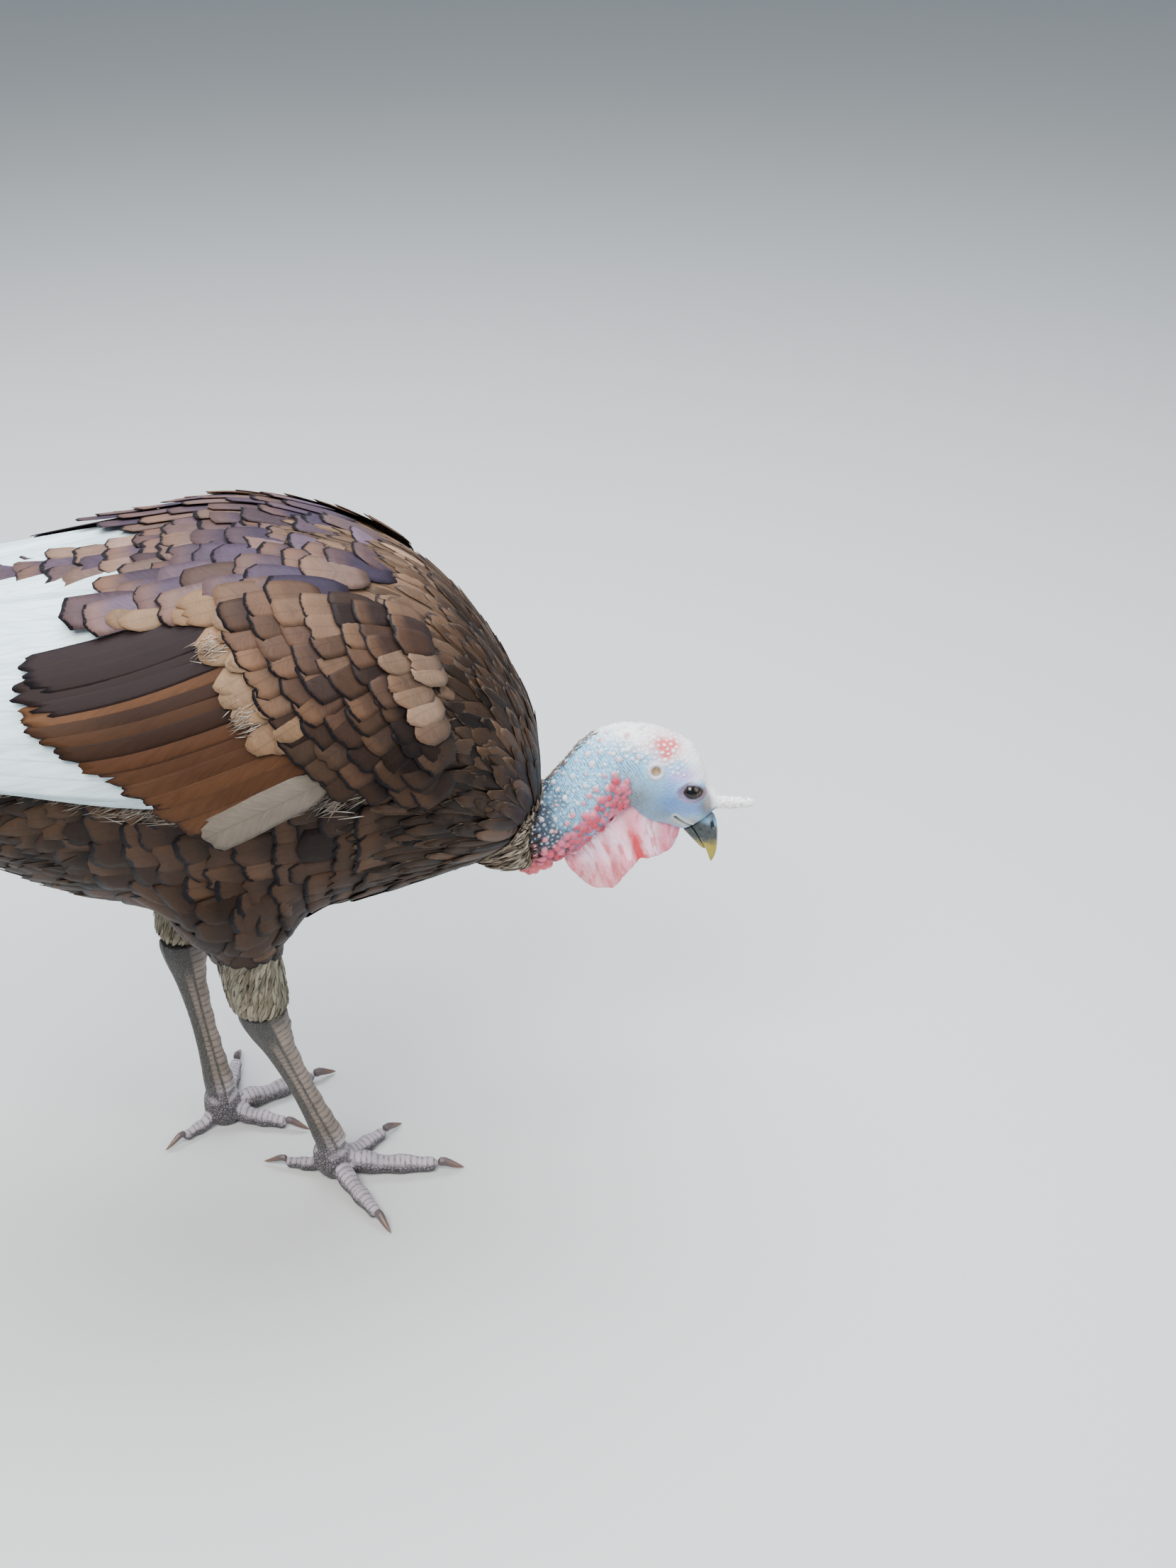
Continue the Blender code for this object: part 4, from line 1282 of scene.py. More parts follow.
@dataclass
class FoldedWing:
    """One folded wing: white flight feathers, the brown fan, and tiers of smaller coverts."""

    side: str
    surface: WingSurface = field(default_factory=WingSurface)
    primaries: int = 7
    secondaries: int = 15
    fan: int = 14
    lesser_rows: int = 7
    scapular_rows: int = 7
    top_angle: float = 8.0
    free_angle: float = 40.0
    top_lift: float = -0.0068
    last_x: float = 0.236
    # Degrees from the top over which the lower coverts fade into painted shade.
    shaded_angles: Pair = (54.0, 73.0)
    pillow_place: Pair = (0.196, 51.0)
    pillow_reach: Triple = (0.069, 0.020, 33.0)
    pillow_depth: float = 0.014
    hidden_angles: Pair = (14.0, 82.0)
    front_overlap: float = 0.022
    flight_widths: Pair = (0.029, 0.031)
    rear_line: Line = (
        (28.0, 0.106), (31.0, 0.111), (51.0, 0.123), (60.0, 0.134), (72.0, 0.146), (84.0, 0.172),
    )
    front_line: Line = (
        (12.0, 0.200), (25.0, 0.222), (45.0, 0.248), (62.0, 0.258), (75.0, 0.252), (84.0, 0.242),
    )
    scapular_line: Line = (
        (5.0, 0.093), (7.0, 0.089), (18.0, 0.061), (27.0, 0.040), (34.0, 0.030), (38.0, 0.036),
    )

    @property
    def left(self) -> bool:
        """Whether this is the bird's left wing."""
        return self.side == "left"

    def pillow(self) -> Piece:
        """The rounded shoulder under the coverts, as a closed shape for the skin.

        Returns:
            The shape.
        """
        deselect_all()
        bpy.ops.mesh.primitive_uv_sphere_add(segments=32, ring_count=24, radius=1.0)
        ball = bpy.context.object
        points = read_points(ball)
        softened = np.sign(points) * np.abs(points) ** 0.8
        ahead, down, out = softened[:, 2], softened[:, 0], softened[:, 1]
        x = self.pillow_place[0] + self.pillow_reach[0] * ahead + self.pillow_reach[1] * down
        angle = np.radians(self.pillow_place[1] + self.pillow_reach[2] * down)
        swell = np.where(out > 0, 0.0150 + 0.0030 * down, 0.010)
        places = self.surface.above(x, angle, -self.pillow_depth + out * swell)
        if self.left:
            places[:, 1] *= -1
        write_points(ball, places)
        face_outwards(ball)
        return ball

    def covers(self, points: Array) -> Array:
        """Whether the folded wing hides each point of the skin from outside.

        Args:
            points: Places on the skin.

        Returns:
            True for each point that is hidden.
        """
        x, y, z = points.T
        half_width, top, bottom, widest = np.moveaxis(self.surface.sizes(x), -1, 0)
        rise = (z - widest) / np.where(z > widest, top - widest, widest - bottom)
        angle = np.degrees(np.arctan2(np.abs(y) / half_width, rise))
        front = np.interp(angle, *np.array(self.front_line).T) - self.front_overlap
        own_side = (y > 0) == self.left
        rear = -0.080 - 0.065 * ease(58, 74, angle)
        low, high = self.hidden_angles
        return own_side & (x > rear) & (x < front) & (angle > low) & (angle < high)

    def _tier(
        self, batch: FeatherBatch, kind: FeatherKind, plumage: Plumage, roots: Array, tips: Array,
        width: float, lifts: Array | Pair, tilt: float,
    ) -> None:
        """Adds one tier of feathers to a batch.

        Args:
            batch: The batch that takes them.
            kind: Their cut.
            plumage: Their palette.
            roots: Root places, as x and degrees from the top.
            tips: End places.
            width: Their width.
            lifts: Height of root and end above the wing's surface.
            tilt: How much each leans over the one below it.
        """
        number, rng = len(roots), batch.rng
        widths = width * rng.uniform(0.92, 1.08, number)
        heights = np.broadcast_to(lifts, (number, 2)) + rng.normal(0, 0.0002, (number, 1))
        heights = heights + np.linspace(0.0, 0.0004, number)[:, None]
        tilts = np.full(number, tilt)
        points = self.surface.lay(kind, roots, tips, widths, heights, tilts, rng, self.left)
        tints, marks = plumage.value.pick(number, rng)
        # Painted shade: feathers lower on the wing are darkened, their warm zone too.
        low_wing_shade = 1 - (1 - plumage.value.low) * ease(*self.shaded_angles, tips[:, 1:])
        tints[:, :3] *= low_wing_shade
        marks[:, 1:2] *= low_wing_shade
        batch.add(kind, points, tints, marks)

    def _settled(self, angles: Array, lift: float) -> Array:
        """A lift that sinks to the back where the wing meets it."""
        free = ease(self.top_angle, self.free_angle, angles)
        return self.top_lift + (lift - self.top_lift) * free

    def build_flight(self) -> Piece:
        """The white primaries and secondaries.

        Returns:
            The feathers as one object.
        """
        rng = np.random.default_rng(11 + self.left)
        batch = FeatherBatch(f"flight_feathers_{self.side}", rng)
        k = np.arange(self.primaries)
        roots = np.stack([np.full(len(k), 0.175), 82.5 - 1.0 * k], -1)
        tips = np.stack([-0.165 - 0.007 * k, 84.5 - 2.7 * k], -1)
        for i in range(self.primaries):
            rise = -0.0075 + 0.0009 * i
            part = slice(i, i + 1)
            self._tier(
                batch, FeatherKind.FLIGHT, Plumage.WHITE, roots[part], tips[part],
                self.flight_widths[0], (rise, rise), 0.0,
            )
        k = np.linspace(0, 1, self.secondaries)
        roots = np.stack([0.070 + 0.100 * k**0.8, 9 + 67 * k], -1)
        tips = np.stack([-0.105 - 0.03 * np.sin(math.pi * k) + 0.02 * k, 6 + 75 * k], -1)
        low = self._settled(roots[:, 1], -0.0045) - 0.0030 * (1 - k)
        lifts = np.stack([low, self._settled(tips[:, 1], 0.0006)], -1)
        width = self.flight_widths[1]
        self._tier(batch, FeatherKind.FLIGHT, Plumage.WHITE, roots, tips, width, lifts, 0.07)
        return batch.build()

    def build_fan(self) -> Piece:
        """The fan of greater coverts, the grey outermost ones and the round tan ones.

        Returns:
            The feathers as one object.
        """
        rng = np.random.default_rng(21 + self.left)
        batch = FeatherBatch(f"wing_coverts_{self.side}", rng)
        share = np.linspace(0, 1, self.fan)
        roots = np.stack([0.130 + 0.052 * share, 36 + 38 * share], -1)
        reach = 0.085 * np.maximum(0.0, (share - 0.35) / 0.65) ** 1.2
        tips = np.stack([0.011 + reach + rng.normal(0, 0.0028, self.fan), 47 + 43 * share], -1)
        dark = round(self.fan * 0.3)
        for plumage, part in ((Plumage.FAN_DARK, slice(0, dark)), (Plumage.FAN, slice(dark, None))):
            lifts = (0.0008, 0.0032)
            self._tier(
                batch, FeatherKind.COVERT, plumage, roots[part], tips[part], 0.0225, lifts, 0.10
            )
        roots = np.array([(0.178, 78.5)])
        tips = np.array([(0.107, 93.5)])
        lifts = (0.0028, 0.0050)
        self._tier(batch, FeatherKind.COVERT, Plumage.GREY, roots, tips, 0.0245, lifts, 0.04)
        for first, last, count, wander, forward, lift in (
            (34, 74, 9, 1.2, -0.010, 0.0042),
            (37, 71, 7, 1.6, 0.005, 0.0047),
        ):
            angles = np.linspace(first, last, count) + rng.normal(0, wander, count)
            self._edge_tier(
                batch, FeatherKind.ROUND, Plumage.MEDIAN, angles, self.rear_line, forward, 0.034,
                0.0215, lift,
            )
        angles = np.array([34.0, 37.0, 35.5])
        line = ((30.0, 0.060), (35.0, 0.060), (36.0, 0.080), (36.5, 0.099), (40.0, 0.100))
        self._edge_tier(
            batch, FeatherKind.ROUND, Plumage.MEDIAN, angles, line, 0.0, 0.028, 0.0190, 0.0045
        )
        return batch.build()

    def build_down(self) -> Piece:
        """Pale down that shows among the round coverts and under the wing's edge.

        Returns:
            The down as one object.
        """
        rng = np.random.default_rng(26 + self.left)
        batch = FeatherBatch(f"wing_down_{self.side}", rng)
        for x, angle, count, spread, length, lift in (
            (0.114, 46.0, 70, (0.003, 1.5), 0.011, 0.0052),
            (0.129, 64.0, 80, (0.003, 1.5), 0.012, 0.0052),
            (0.060, 92.5, 240, (0.040, 1.2), 0.020, -0.0125),
            (0.172, 88.0, 70, (0.010, 1.6), 0.016, -0.0040),
        ):
            tips = np.stack([rng.normal(x, spread[0], count), rng.normal(angle, spread[1], count)], -1)
            radius = self.surface.sizes(tips[:, 0])[:, 0]
            lengths = length * rng.uniform(0.6, 1.3, count)
            slant = rng.normal(0.45, 0.30, count)
            roots = tips + np.stack(
                [lengths * np.cos(slant), -np.degrees(lengths * np.sin(slant) / radius)], -1
            )
            lifts = np.stack([np.full(count, lift - 0.003), lift + rng.uniform(0, 0.0022, count)], -1)
            self._tier(batch, FeatherKind.TUFT, Plumage.DOWN, roots, tips, 0.0007, lifts, 0.0)
        return batch.build()

    def _edge_tier(
        self, batch: FeatherBatch, kind: FeatherKind, plumage: Plumage, angles: Array,
        line: Sequence[Pair], forward: float, length: float, width: float, lift: float,
    ) -> None:
        """A tier whose ends stand at a distance in front of a line across the wing.

        Args:
            batch: The batch that takes the feathers.
            kind: Their cut.
            plumage: Their palette.
            angles: Where each ends, in degrees from the top.
            line: Stops of the line, as degrees and x.
            forward: Distance in front of the line.
            length: Length of each feather.
            width: Width of each feather.
            lift: Height of the ends above the wing's surface.
        """
        rng = batch.rng
        x = np.interp(angles, *np.array(line).T) + forward
        angles, x = angles[x < self.last_x], x[x < self.last_x]
        number = len(angles)
        if not number:
            return
        x = x + rng.normal(0, 0.0011, number)
        slant = np.radians(4 + 30 * ease(15, 75, angles) + rng.normal(0, 3.0, number))
        radius = self.surface.sizes(x)[:, 0]
        tips = np.stack([x, angles], -1)
        lengths = length * rng.uniform(0.92, 1.08, number)
        rise = np.degrees(lengths * np.sin(slant) / radius)
        roots = np.stack([x + lengths * np.cos(slant), angles - rise], -1)
        ends = self._settled(angles, lift) - 0.0060 * ease(0.225, 0.275, x)
        sunk = 0.0042 + 0.0070 * ease(0.235, 0.290, roots[:, 0])
        lifts = np.stack([ends - sunk, ends], -1)
        self._tier(batch, kind, plumage, roots, tips, width, lifts, 0.035)

    def build_tiles(self) -> Piece:
        """Arcs of square feathers over the shoulder and down the wing.

        Returns:
            The feathers as one object.
        """
        rng = np.random.default_rng(31 + self.left)
        batch = FeatherBatch(f"shoulder_feathers_{self.side}", rng)
        rear, front = np.array(self.rear_line).T, np.array(self.front_line).T
        for row in range(self.lesser_rows):
            share = (row + 0.55) / self.lesser_rows
            step = 5.6 - 1.2 * share
            angles = np.arange(33.0, 85.0, step) + (row % 2) * step / 2
            angles = angles + rng.normal(0, 0.7, len(angles))
            gap = np.interp(angles, *front) - np.interp(angles, *rear)
            tan = (np.abs(angles - 58) < 11) & (row >= self.lesser_rows - 2)
            lift = 0.0056 - 0.0044 * share
            for mask, plumage, kind in (
                (tan, Plumage.SHOULDER, FeatherKind.ROUND),
                (~tan, Plumage.LESSER, FeatherKind.SQUARE),
            ):
                if mask.any():
                    self._edge_tier(
                        batch, kind, plumage, angles[mask], self.rear_line,
                        float(gap.mean()) * share, 0.036 - 0.010 * share,
                        0.0235 - 0.0050 * share, lift,
                    )
        for row in range(self.scapular_rows):
            step = 7.4
            angles = np.arange(7.0, 34.0, step) + (row % 2) * step / 2
            angles = angles + rng.normal(0, 0.8, len(angles))
            lift = 0.0060 - 0.0048 * row / self.scapular_rows
            self._edge_tier(
                batch, FeatherKind.SQUARE, Plumage.MANTLE, angles, self.scapular_line,
                0.0200 * row, 0.046, 0.0290, lift,
            )
        return batch.build()

    def dress(self, finish: Material) -> None:
        """Builds the wing's feathers and hands them over.

        Args:
            finish: Their material.
        """
        hand_over(self.build_flight(), finish, "wing_feathers", f"wing_{self.side}")
        for build in (self.build_fan, self.build_tiles, self.build_down):
            hand_over(build(), finish, "wing_feathers")


# Tail


@dataclass
class TailFan:
    """The folded tail: long white feathers with a soft reddish bar, and coverts over them."""

    root: Triple = (-0.150, 0.0, 0.424)
    droop: float = math.radians(14)
    sag: float = 0.16
    length: float = 0.330
    width: float = 0.047
    covert_width: float = 0.030
    pairs: int = 9
    layer: float = 0.0010
    covert_layer: float = 0.0007

    def _lay(
        self, kind: FeatherKind, roots: Array, tips: Array, widths: Array, levels: Array, rng: Dice
    ) -> Array:
        """Lays feathers between places given as distance back and distance to the left.

        Args:
            kind: Their cut.
            roots: Root places.
            tips: End places.
            widths: Their widths.
            levels: Height of each over the tail's root.
            rng: Source of the fraying.

        Returns:
            Vertex places for each feather.
        """
        across, along, through = FeatherBatch.grid(kind, len(roots), rng)
        run = tips - roots
        back = roots[:, :1] + run[:, :1] * along
        aside = roots[:, 1:] + run[:, 1:] * along + across * widths[:, None] / 2
        camber = bulge(kind, widths, across)
        height = levels[:, None] + camber - self.sag * back**2 + through * vane_thickness(widths)[:, None]
        axis = np.array((-math.cos(self.droop), 0.0, -math.sin(self.droop)))
        normal = np.array((-math.sin(self.droop), 0.0, math.cos(self.droop)))
        points = np.array(self.root) + axis * back[..., None]
        points = points + np.array((0.0, 1.0, 0.0)) * aside[..., None]
        return points + normal * height[..., None]

    def dress(self, long_finish: Material, covert_finish: Material) -> None:
        """Builds the tail and hands it over.

        Args:
            long_finish: Material of the long feathers.
            covert_finish: Material of the coverts.
        """
        rng = np.random.default_rng(41)
        batch = FeatherBatch("tail_feathers", rng)
        for k in range(self.pairs):
            for side in (-1, 1):
                level = np.array([-self.layer * (2 * k + (side > 0))])
                roots = np.array([(0.02, side * (0.002 + 0.0022 * k))])
                tips = np.array([(self.length - 0.004 * k, side * (0.003 + 0.0056 * k))])
                widths = np.array([self.width])
                points = self._lay(FeatherKind.FLIGHT, roots, tips, widths, level, rng)
                tints, marks = Plumage.TAIL.value.pick(1, rng)
                batch.add(FeatherKind.FLIGHT, points, tints, marks)
        hand_over(self._as_strips(batch), long_finish, "tail_feathers", "tail")
        batch = FeatherBatch("tail_coverts", rng)
        over, under = (Plumage.RUMP, FeatherKind.SQUARE, 4), (Plumage.SIDE, FeatherKind.PLUME, 3)
        for (plumage, kind, count), base, reach, back, root_gap, gap in (
            (over, 0.0030, 0.200, 0.085, 0.6 * 0.0085, 0.0085),
            (over, 0.0052, 0.168, 0.085, 0.6 * 0.0090, 0.0090),
            (over, 0.0074, 0.138, 0.085, 0.6 * 0.0095, 0.0095),
            (over, 0.0096, 0.110, 0.085, 0.6 * 0.0100, 0.0100),
            (over, 0.0118, 0.082, 0.085, 0.6 * 0.0105, 0.0105),
            (under, -0.0200, 0.118, 0.10, 0.005, 0.010),
            (under, -0.0230, 0.085, 0.10, 0.005, 0.010),
        ):
            j = np.arange(-count, count + 1)
            widths = np.full(len(j), self.covert_width)
            levels = base - self.covert_layer * (2 * np.abs(j) + (j < 0))
            roots = np.stack([np.full(len(j), reach - back), root_gap * j], -1)
            ends = reach - 0.006 * np.abs(j)
            if kind is FeatherKind.SQUARE:
                ends = ends + rng.normal(0, 0.003, len(j))
            tips = np.stack([ends, gap * j], -1)
            points = self._lay(kind, roots, tips, widths, levels, rng)
            tints, marks = plumage.value.pick(len(j), rng)
            batch.add(kind, points, tints, marks)
        hand_over(self._as_strips(batch), covert_finish, "tail_feathers")

    def _as_strips(self, batch: FeatherBatch) -> Piece:
        """Builds a batch after moving each block of strips to a cell of its own.

        Args:
            batch: Feathers that were added in several blocks.

        Returns:
            The batch as one object.
        """
        blocks = batch.blocks[BAKE_MAP]
        side = math.ceil(math.sqrt(len(blocks)))
        for i, block in enumerate(blocks):
            blocks[i] = (block * 0.96 + 0.02 + np.array((i % side, i // side))) / side
        return batch.build()


# Body


class Layout(Enum):
    """How the roots of a tract are set out."""

    ROWS = "even rows round the body, each half a step from the last"
    SCATTER = "evenly spread with no rows"


@dataclass(frozen=True)
class Tract:
    """A region of body feathers.

    Args:
        name: The piece's name.
        kind: The cut of its feathers.
        plumage: Its palette.
        layout: How its roots are set out.
        spacing: Distance between roots.
        length: Length of a feather.
        width: Width of a feather.
        slope: How fast a feather rises from the skin.
    """

    name: str
    kind: FeatherKind
    plumage: Plumage
    layout: Layout
    spacing: float
    length: float
    width: float
    slope: float = 0.062


class Region(Enum):
    """The body's feather regions, in the order of their numbers."""

    MANTLE = Tract(
        "back_feathers", FeatherKind.SQUARE, Plumage.MANTLE, Layout.ROWS, 0.0185, 0.048, 0.0280
    )
    BREAST = Tract(
        "breast_feathers", FeatherKind.NARROW, Plumage.BREAST, Layout.SCATTER, 0.0061, 0.060, 0.0104, 0.038
    )
    SIDE = Tract("side_feathers", FeatherKind.SQUARE, Plumage.SIDE, Layout.ROWS, 0.0170, 0.046, 0.0250)
    NECK = Tract(
        "neck_feathers", FeatherKind.TUFT, Plumage.NECK, Layout.SCATTER, 0.0027, 0.013, 0.0030, 0.12
    )
    BELLY = Tract(
        "belly_feathers", FeatherKind.PLUME, Plumage.BELLY, Layout.SCATTER, 0.0088, 0.040, 0.0200, 0.085
    )
    RUMP = Tract("rump_feathers", FeatherKind.SQUARE, Plumage.RUMP, Layout.ROWS, 0.0175, 0.046, 0.0270)
    THIGH = Tract(
        "thigh_feathers", FeatherKind.SMALL, Plumage.SIDE, Layout.SCATTER, 0.0098, 0.036, 0.0200, 0.075
    )
    DRUMSTICK = Tract(
        "drumstick_feathers", FeatherKind.TUFT, Plumage.DRUMSTICK, Layout.SCATTER, 0.0034, 0.019,
        0.0040, 0.045,
    )


@dataclass
class FeatheredBody:
    """Torso, feathered neck and thighs: one skin under the plumage, and the plumage."""

    frame: dict
    wings: tuple[FoldedWing, ...]
    coat_depth: float = 0.0045
    grain: float = 0.0046
    neck_root: Triple = (0.315, -0.003, 0.262)
    bulb: Triple = (0.315, -0.0116, 0.235)
    bulb_room: float = 0.0165
    neck_reach: float = 0.155
    patch_waves: tuple[Triple, Triple] = ((61.0, 43.0, 37.0), (-29.0, 51.0, 67.0))
    patch_depth: float = 0.30
    mantle_height: float = 0.405
    rump_height: float = 0.360
    waist: float = 0.010
    breast_line: float = 0.238
    breast_foot: float = 0.205
    thigh_top: float = 0.275
    drumstick_top: float = 0.250
    flesh: tuple[str, ...] = ("torso", "neck_lower", "thigh_left", "thigh_right")
    regions: tuple[Region, ...] = tuple(Region)

    def make_skin(self) -> Piece:
        """One skin over the body's solids and both shoulders, drawn in by the coat's depth.

        Returns:
            The skin.
        """
        pillows = [wing.pillow() for wing in self.wings]
        nodes = [self.frame["nodes"][name] for name in self.flesh]
        skin = joined_copy("body_skin", nodes + pillows)
        for pillow in pillows:
            bpy.data.objects.remove(pillow)
        reskin(skin, self.grain, 6)
        points, normals = read_points(skin), read_normals(skin)
        low = ease(0.235, 0.200, points[:, 2])
        bare = Ground(self.frame["nodes"]["neck_upper"]).far_from(points)
        depth = self.coat_depth * (1 - 0.45 * low) * ease(0.0, 0.020, bare)
        write_points(skin, points - normals * depth[:, None])
        return skin

    def ahead(self, points: Array) -> Array:
        """How far forward each point is, along lines that lean with the breast."""
        return points[:, 0] + 0.20 * (points[:, 2] - 0.35)

    def regions_of(self, points: Array) -> Array:
        """The number of the region that each point of the skin belongs to.

        Args:
            points: Places on the skin.

        Returns:
            Row numbers in the list of regions.
        """
        x, _, z = points.T
        number = {region: i for i, region in enumerate(self.regions)}
        out = np.full(len(points), number[Region.BELLY])
        out[(z > 0.262 - 0.25 * (x - 0.10)) & (x > 0.06)] = number[Region.SIDE]
        out[(z > self.mantle_height) & (x > self.waist)] = number[Region.MANTLE]
        out[(z > self.rump_height) & (x <= self.waist)] = number[Region.RUMP]
        out[(self.ahead(points) > self.breast_line) & (z > self.breast_foot)] = number[Region.BREAST]
        for node in ("thigh_left", "thigh_right"):
            near = Ground(self.frame["nodes"][node]).far_from(points) < self.coat_depth + 0.003
            out[near & (z < self.thigh_top)] = number[Region.THIGH]
            out[near & (z < self.drumstick_top)] = number[Region.DRUMSTICK]
        neck = Ground(self.frame["nodes"]["neck_lower"]).far_from(points) < self.coat_depth + 0.012
        out[neck & (z < 0.30)] = number[Region.NECK]
        return out

    def flow(self, points: Array, legs: bool) -> Array:
        """Which way the feathers lie at each point.

        Args:
            points: Places on the skin.
            legs: Whether they are on a leg.

        Returns:
            A direction for each point.
        """
        if legs:
            return np.tile(np.array((-0.30, 0.0, -1.0)), (len(points), 1))
        lower = ease(0.42, 0.28, points[:, 2])
        back = np.stack([-np.ones(len(points)), np.zeros(len(points)), -0.10 - 0.22 * lower], -1)
        away = points - np.array(self.neck_root)
        near = peak(np.linalg.norm(away, axis=1), 0.0, self.neck_reach)
        return blend(back, 1.2 * unit(away), near)

    def unwrap(self, points: Array) -> Array:
        """Each point's place on the skin rolled out flat, between 0.02 and 0.98.

        Args:
            points: Places on the skin.

        Returns:
            Two values for each point.
        """
        x, y, z = points.T
        turn = np.arctan2(y, z - 0.36) / (2 * math.pi) + 0.5
        legs = z < 0.236
        around = np.arctan2(y - np.sign(y) * 0.055, x - 0.10) / (2 * math.pi) + 0.5
        u = np.where(legs, 0.5 * around + 0.5 * (y > 0), (x + 0.20) / 0.56)
        v = np.where(legs, (z - 0.14) * 1.2, 0.15 + 0.83 * turn)
        return np.clip(np.stack([u, v], -1), 0.02, 0.98)

    def _grow(self, ground: Ground, number: int, region: Region, rng: Dice) -> FeatherBatch:
        """Grows one region's feathers.

        Args:
            ground: The skin.
            number: The region's number.
            region: The region.
            rng: Source of the variation.

        Returns:
            The feathers, gathered.
        """
        tract = region.value
        in_rows = tract.layout is Layout.ROWS
        spread = ground.in_rows if in_rows else ground.candidates
        places = spread(tract.spacing, rng)
        hidden = np.any([wing.covers(places) for wing in self.wings], axis=0)
        clear = np.linalg.norm(places - np.array(self.bulb), axis=1) > self.bulb_room
        keep = (self.regions_of(places) == number) & ~hidden & clear
        roots = places[keep]
        if not in_rows:
            roots = roots[spots_apart(roots, np.full(len(roots), tract.spacing), rng)]
        count = len(roots)
        legs = region in (Region.THIGH, Region.DRUMSTICK)
        wander = 0.05 if in_rows else 0.10
        lie = self.flow(roots, legs) + rng.normal(0, wander, (count, 3))
        points = ground.lay(
            tract.kind,
            roots,
            lie,
            tract.length * rng.uniform(0.90, 1.12, count),
            tract.width * rng.uniform(0.90, 1.10, count),
            rng.uniform(0.0002, 0.0008, count),
            tract.slope * rng.uniform(0.90, 1.15, count),
            rng,
        )
        tints, marks = tract.plumage.value.pick(count, rng)
        one, other = np.sin(roots @ np.array(self.patch_waves).T).T
        tints[:, :3] *= np.exp(self.patch_depth * one * other)[:, None]
        if region is Region.BREAST:
            brown = ease(0.312, 0.286, self.ahead(roots)) * ease(0.37, 0.43, roots[:, 2])
            lighter = np.array((0.115, 0.070, 0.045)) * np.exp(rng.normal(0, 0.35, count))[:, None]
            tints[:, :3] = blend(tints[:, :3], lighter, 0.85 * brown)
        batch = FeatherBatch(tract.name, rng)
        own = tract.kind in (FeatherKind.TUFT, FeatherKind.NARROW)
        batch.add(tract.kind, points, tints, marks, self.unwrap(roots) if own else None)
        return batch

    def dress(self, finishes: dict[str, Material]) -> None:
        """Builds the skin and its plumage and hands them over.

        Args:
            finishes: The materials by name.
        """
        rng = np.random.default_rng(51)
        skin = self.make_skin()
        ground = Ground(skin)
        kinds = self.regions_of(ground.points)
        tones = np.array([np.mean(region.value.plumage.value.colours, 0) for region in self.regions])
        write_colours(skin, "tint", tones[kinds])
        hand_over(skin, finishes["under"], "body_feathers", *self.flesh)
        for number, region in enumerate(self.regions):
            batch = self._grow(ground, number, region, rng)
            hand_over(batch.build(), finishes["feather"], "body_feathers")


# Head and neck


@dataclass(frozen=True)
class HeadFrame:
    """The head's own directions: forward along the bill, up, and to the bird's left."""

    origin: Triple = (0.4247, -0.0109, 0.2781)
    forward: Triple = (0.985, -0.174, 0.0)
    up: Triple = (0.0594, 0.3368, 0.9397)
    left: Triple = (0.163, 0.925, -0.342)

    def matrix(self) -> Array:
        """The three directions as columns."""
        return np.array((self.forward, self.up, self.left)).T

    def place(self, forward: float, height: float, left: float = 0.0) -> Array:
        """A point in the bird's frame."""
        return np.array(self.origin) + self.matrix() @ np.array((forward, height, left))

    def inside(self, points: Array) -> Array:
        """Forward, height and left of points given in the bird's frame."""
        return (points - np.array(self.origin)) @ np.linalg.inv(self.matrix()).T


def ring_distance(local: Array, place: Pair, size: Pair) -> Array:
    """Elliptical distance on the side of the head, 1 on the ellipse of that size."""
    return np.hypot((local[:, 0] - place[0]) / size[0], (local[:, 1] - place[1]) / size[1])


def soft_spot(local: Array, place: Pair, size: Pair) -> Array:
    """A soft spot on the side of the head, 1 at its middle."""
    return peak(ring_distance(local, place, size), 0.0, 1.0)


def off_line(local: Array, start: Pair, end: Pair) -> tuple[Array, Array]:
    """Where points lie beside a straight line on the side of the head.

    Args:
        local: Points in the head's frame.
        start: Where the line starts.
        end: Where it ends.

    Returns:
        How far along the line each point is, from 0 to 1, and its offset from there.
    """
    run = np.subtract(end, start)
    share = np.clip(((local[:, :2] - start) @ run) / (run @ run), 0.0, 1.0)
    return share, local[:, :2] - (start + share[:, None] * run)


def cloudy(points: Array, size: float, seed: int = 1) -> Array:
    """Uneven spots between -1 and 1, about as wide as the size.

    Args:
        points: Where the value is wanted.
        size: Typical width of a spot.
        seed: Picks the pattern.

    Returns:
        A value for each point.
    """
    rng = np.random.default_rng(seed)
    waves = unit(rng.normal(size=(14, 3))) * rng.uniform(0.5, 1.5, (14, 1)) * math.pi / size
    return np.clip(np.sin(points @ waves.T + rng.uniform(0, 6.28, 14)).mean(1) * 2.8, -1, 1)


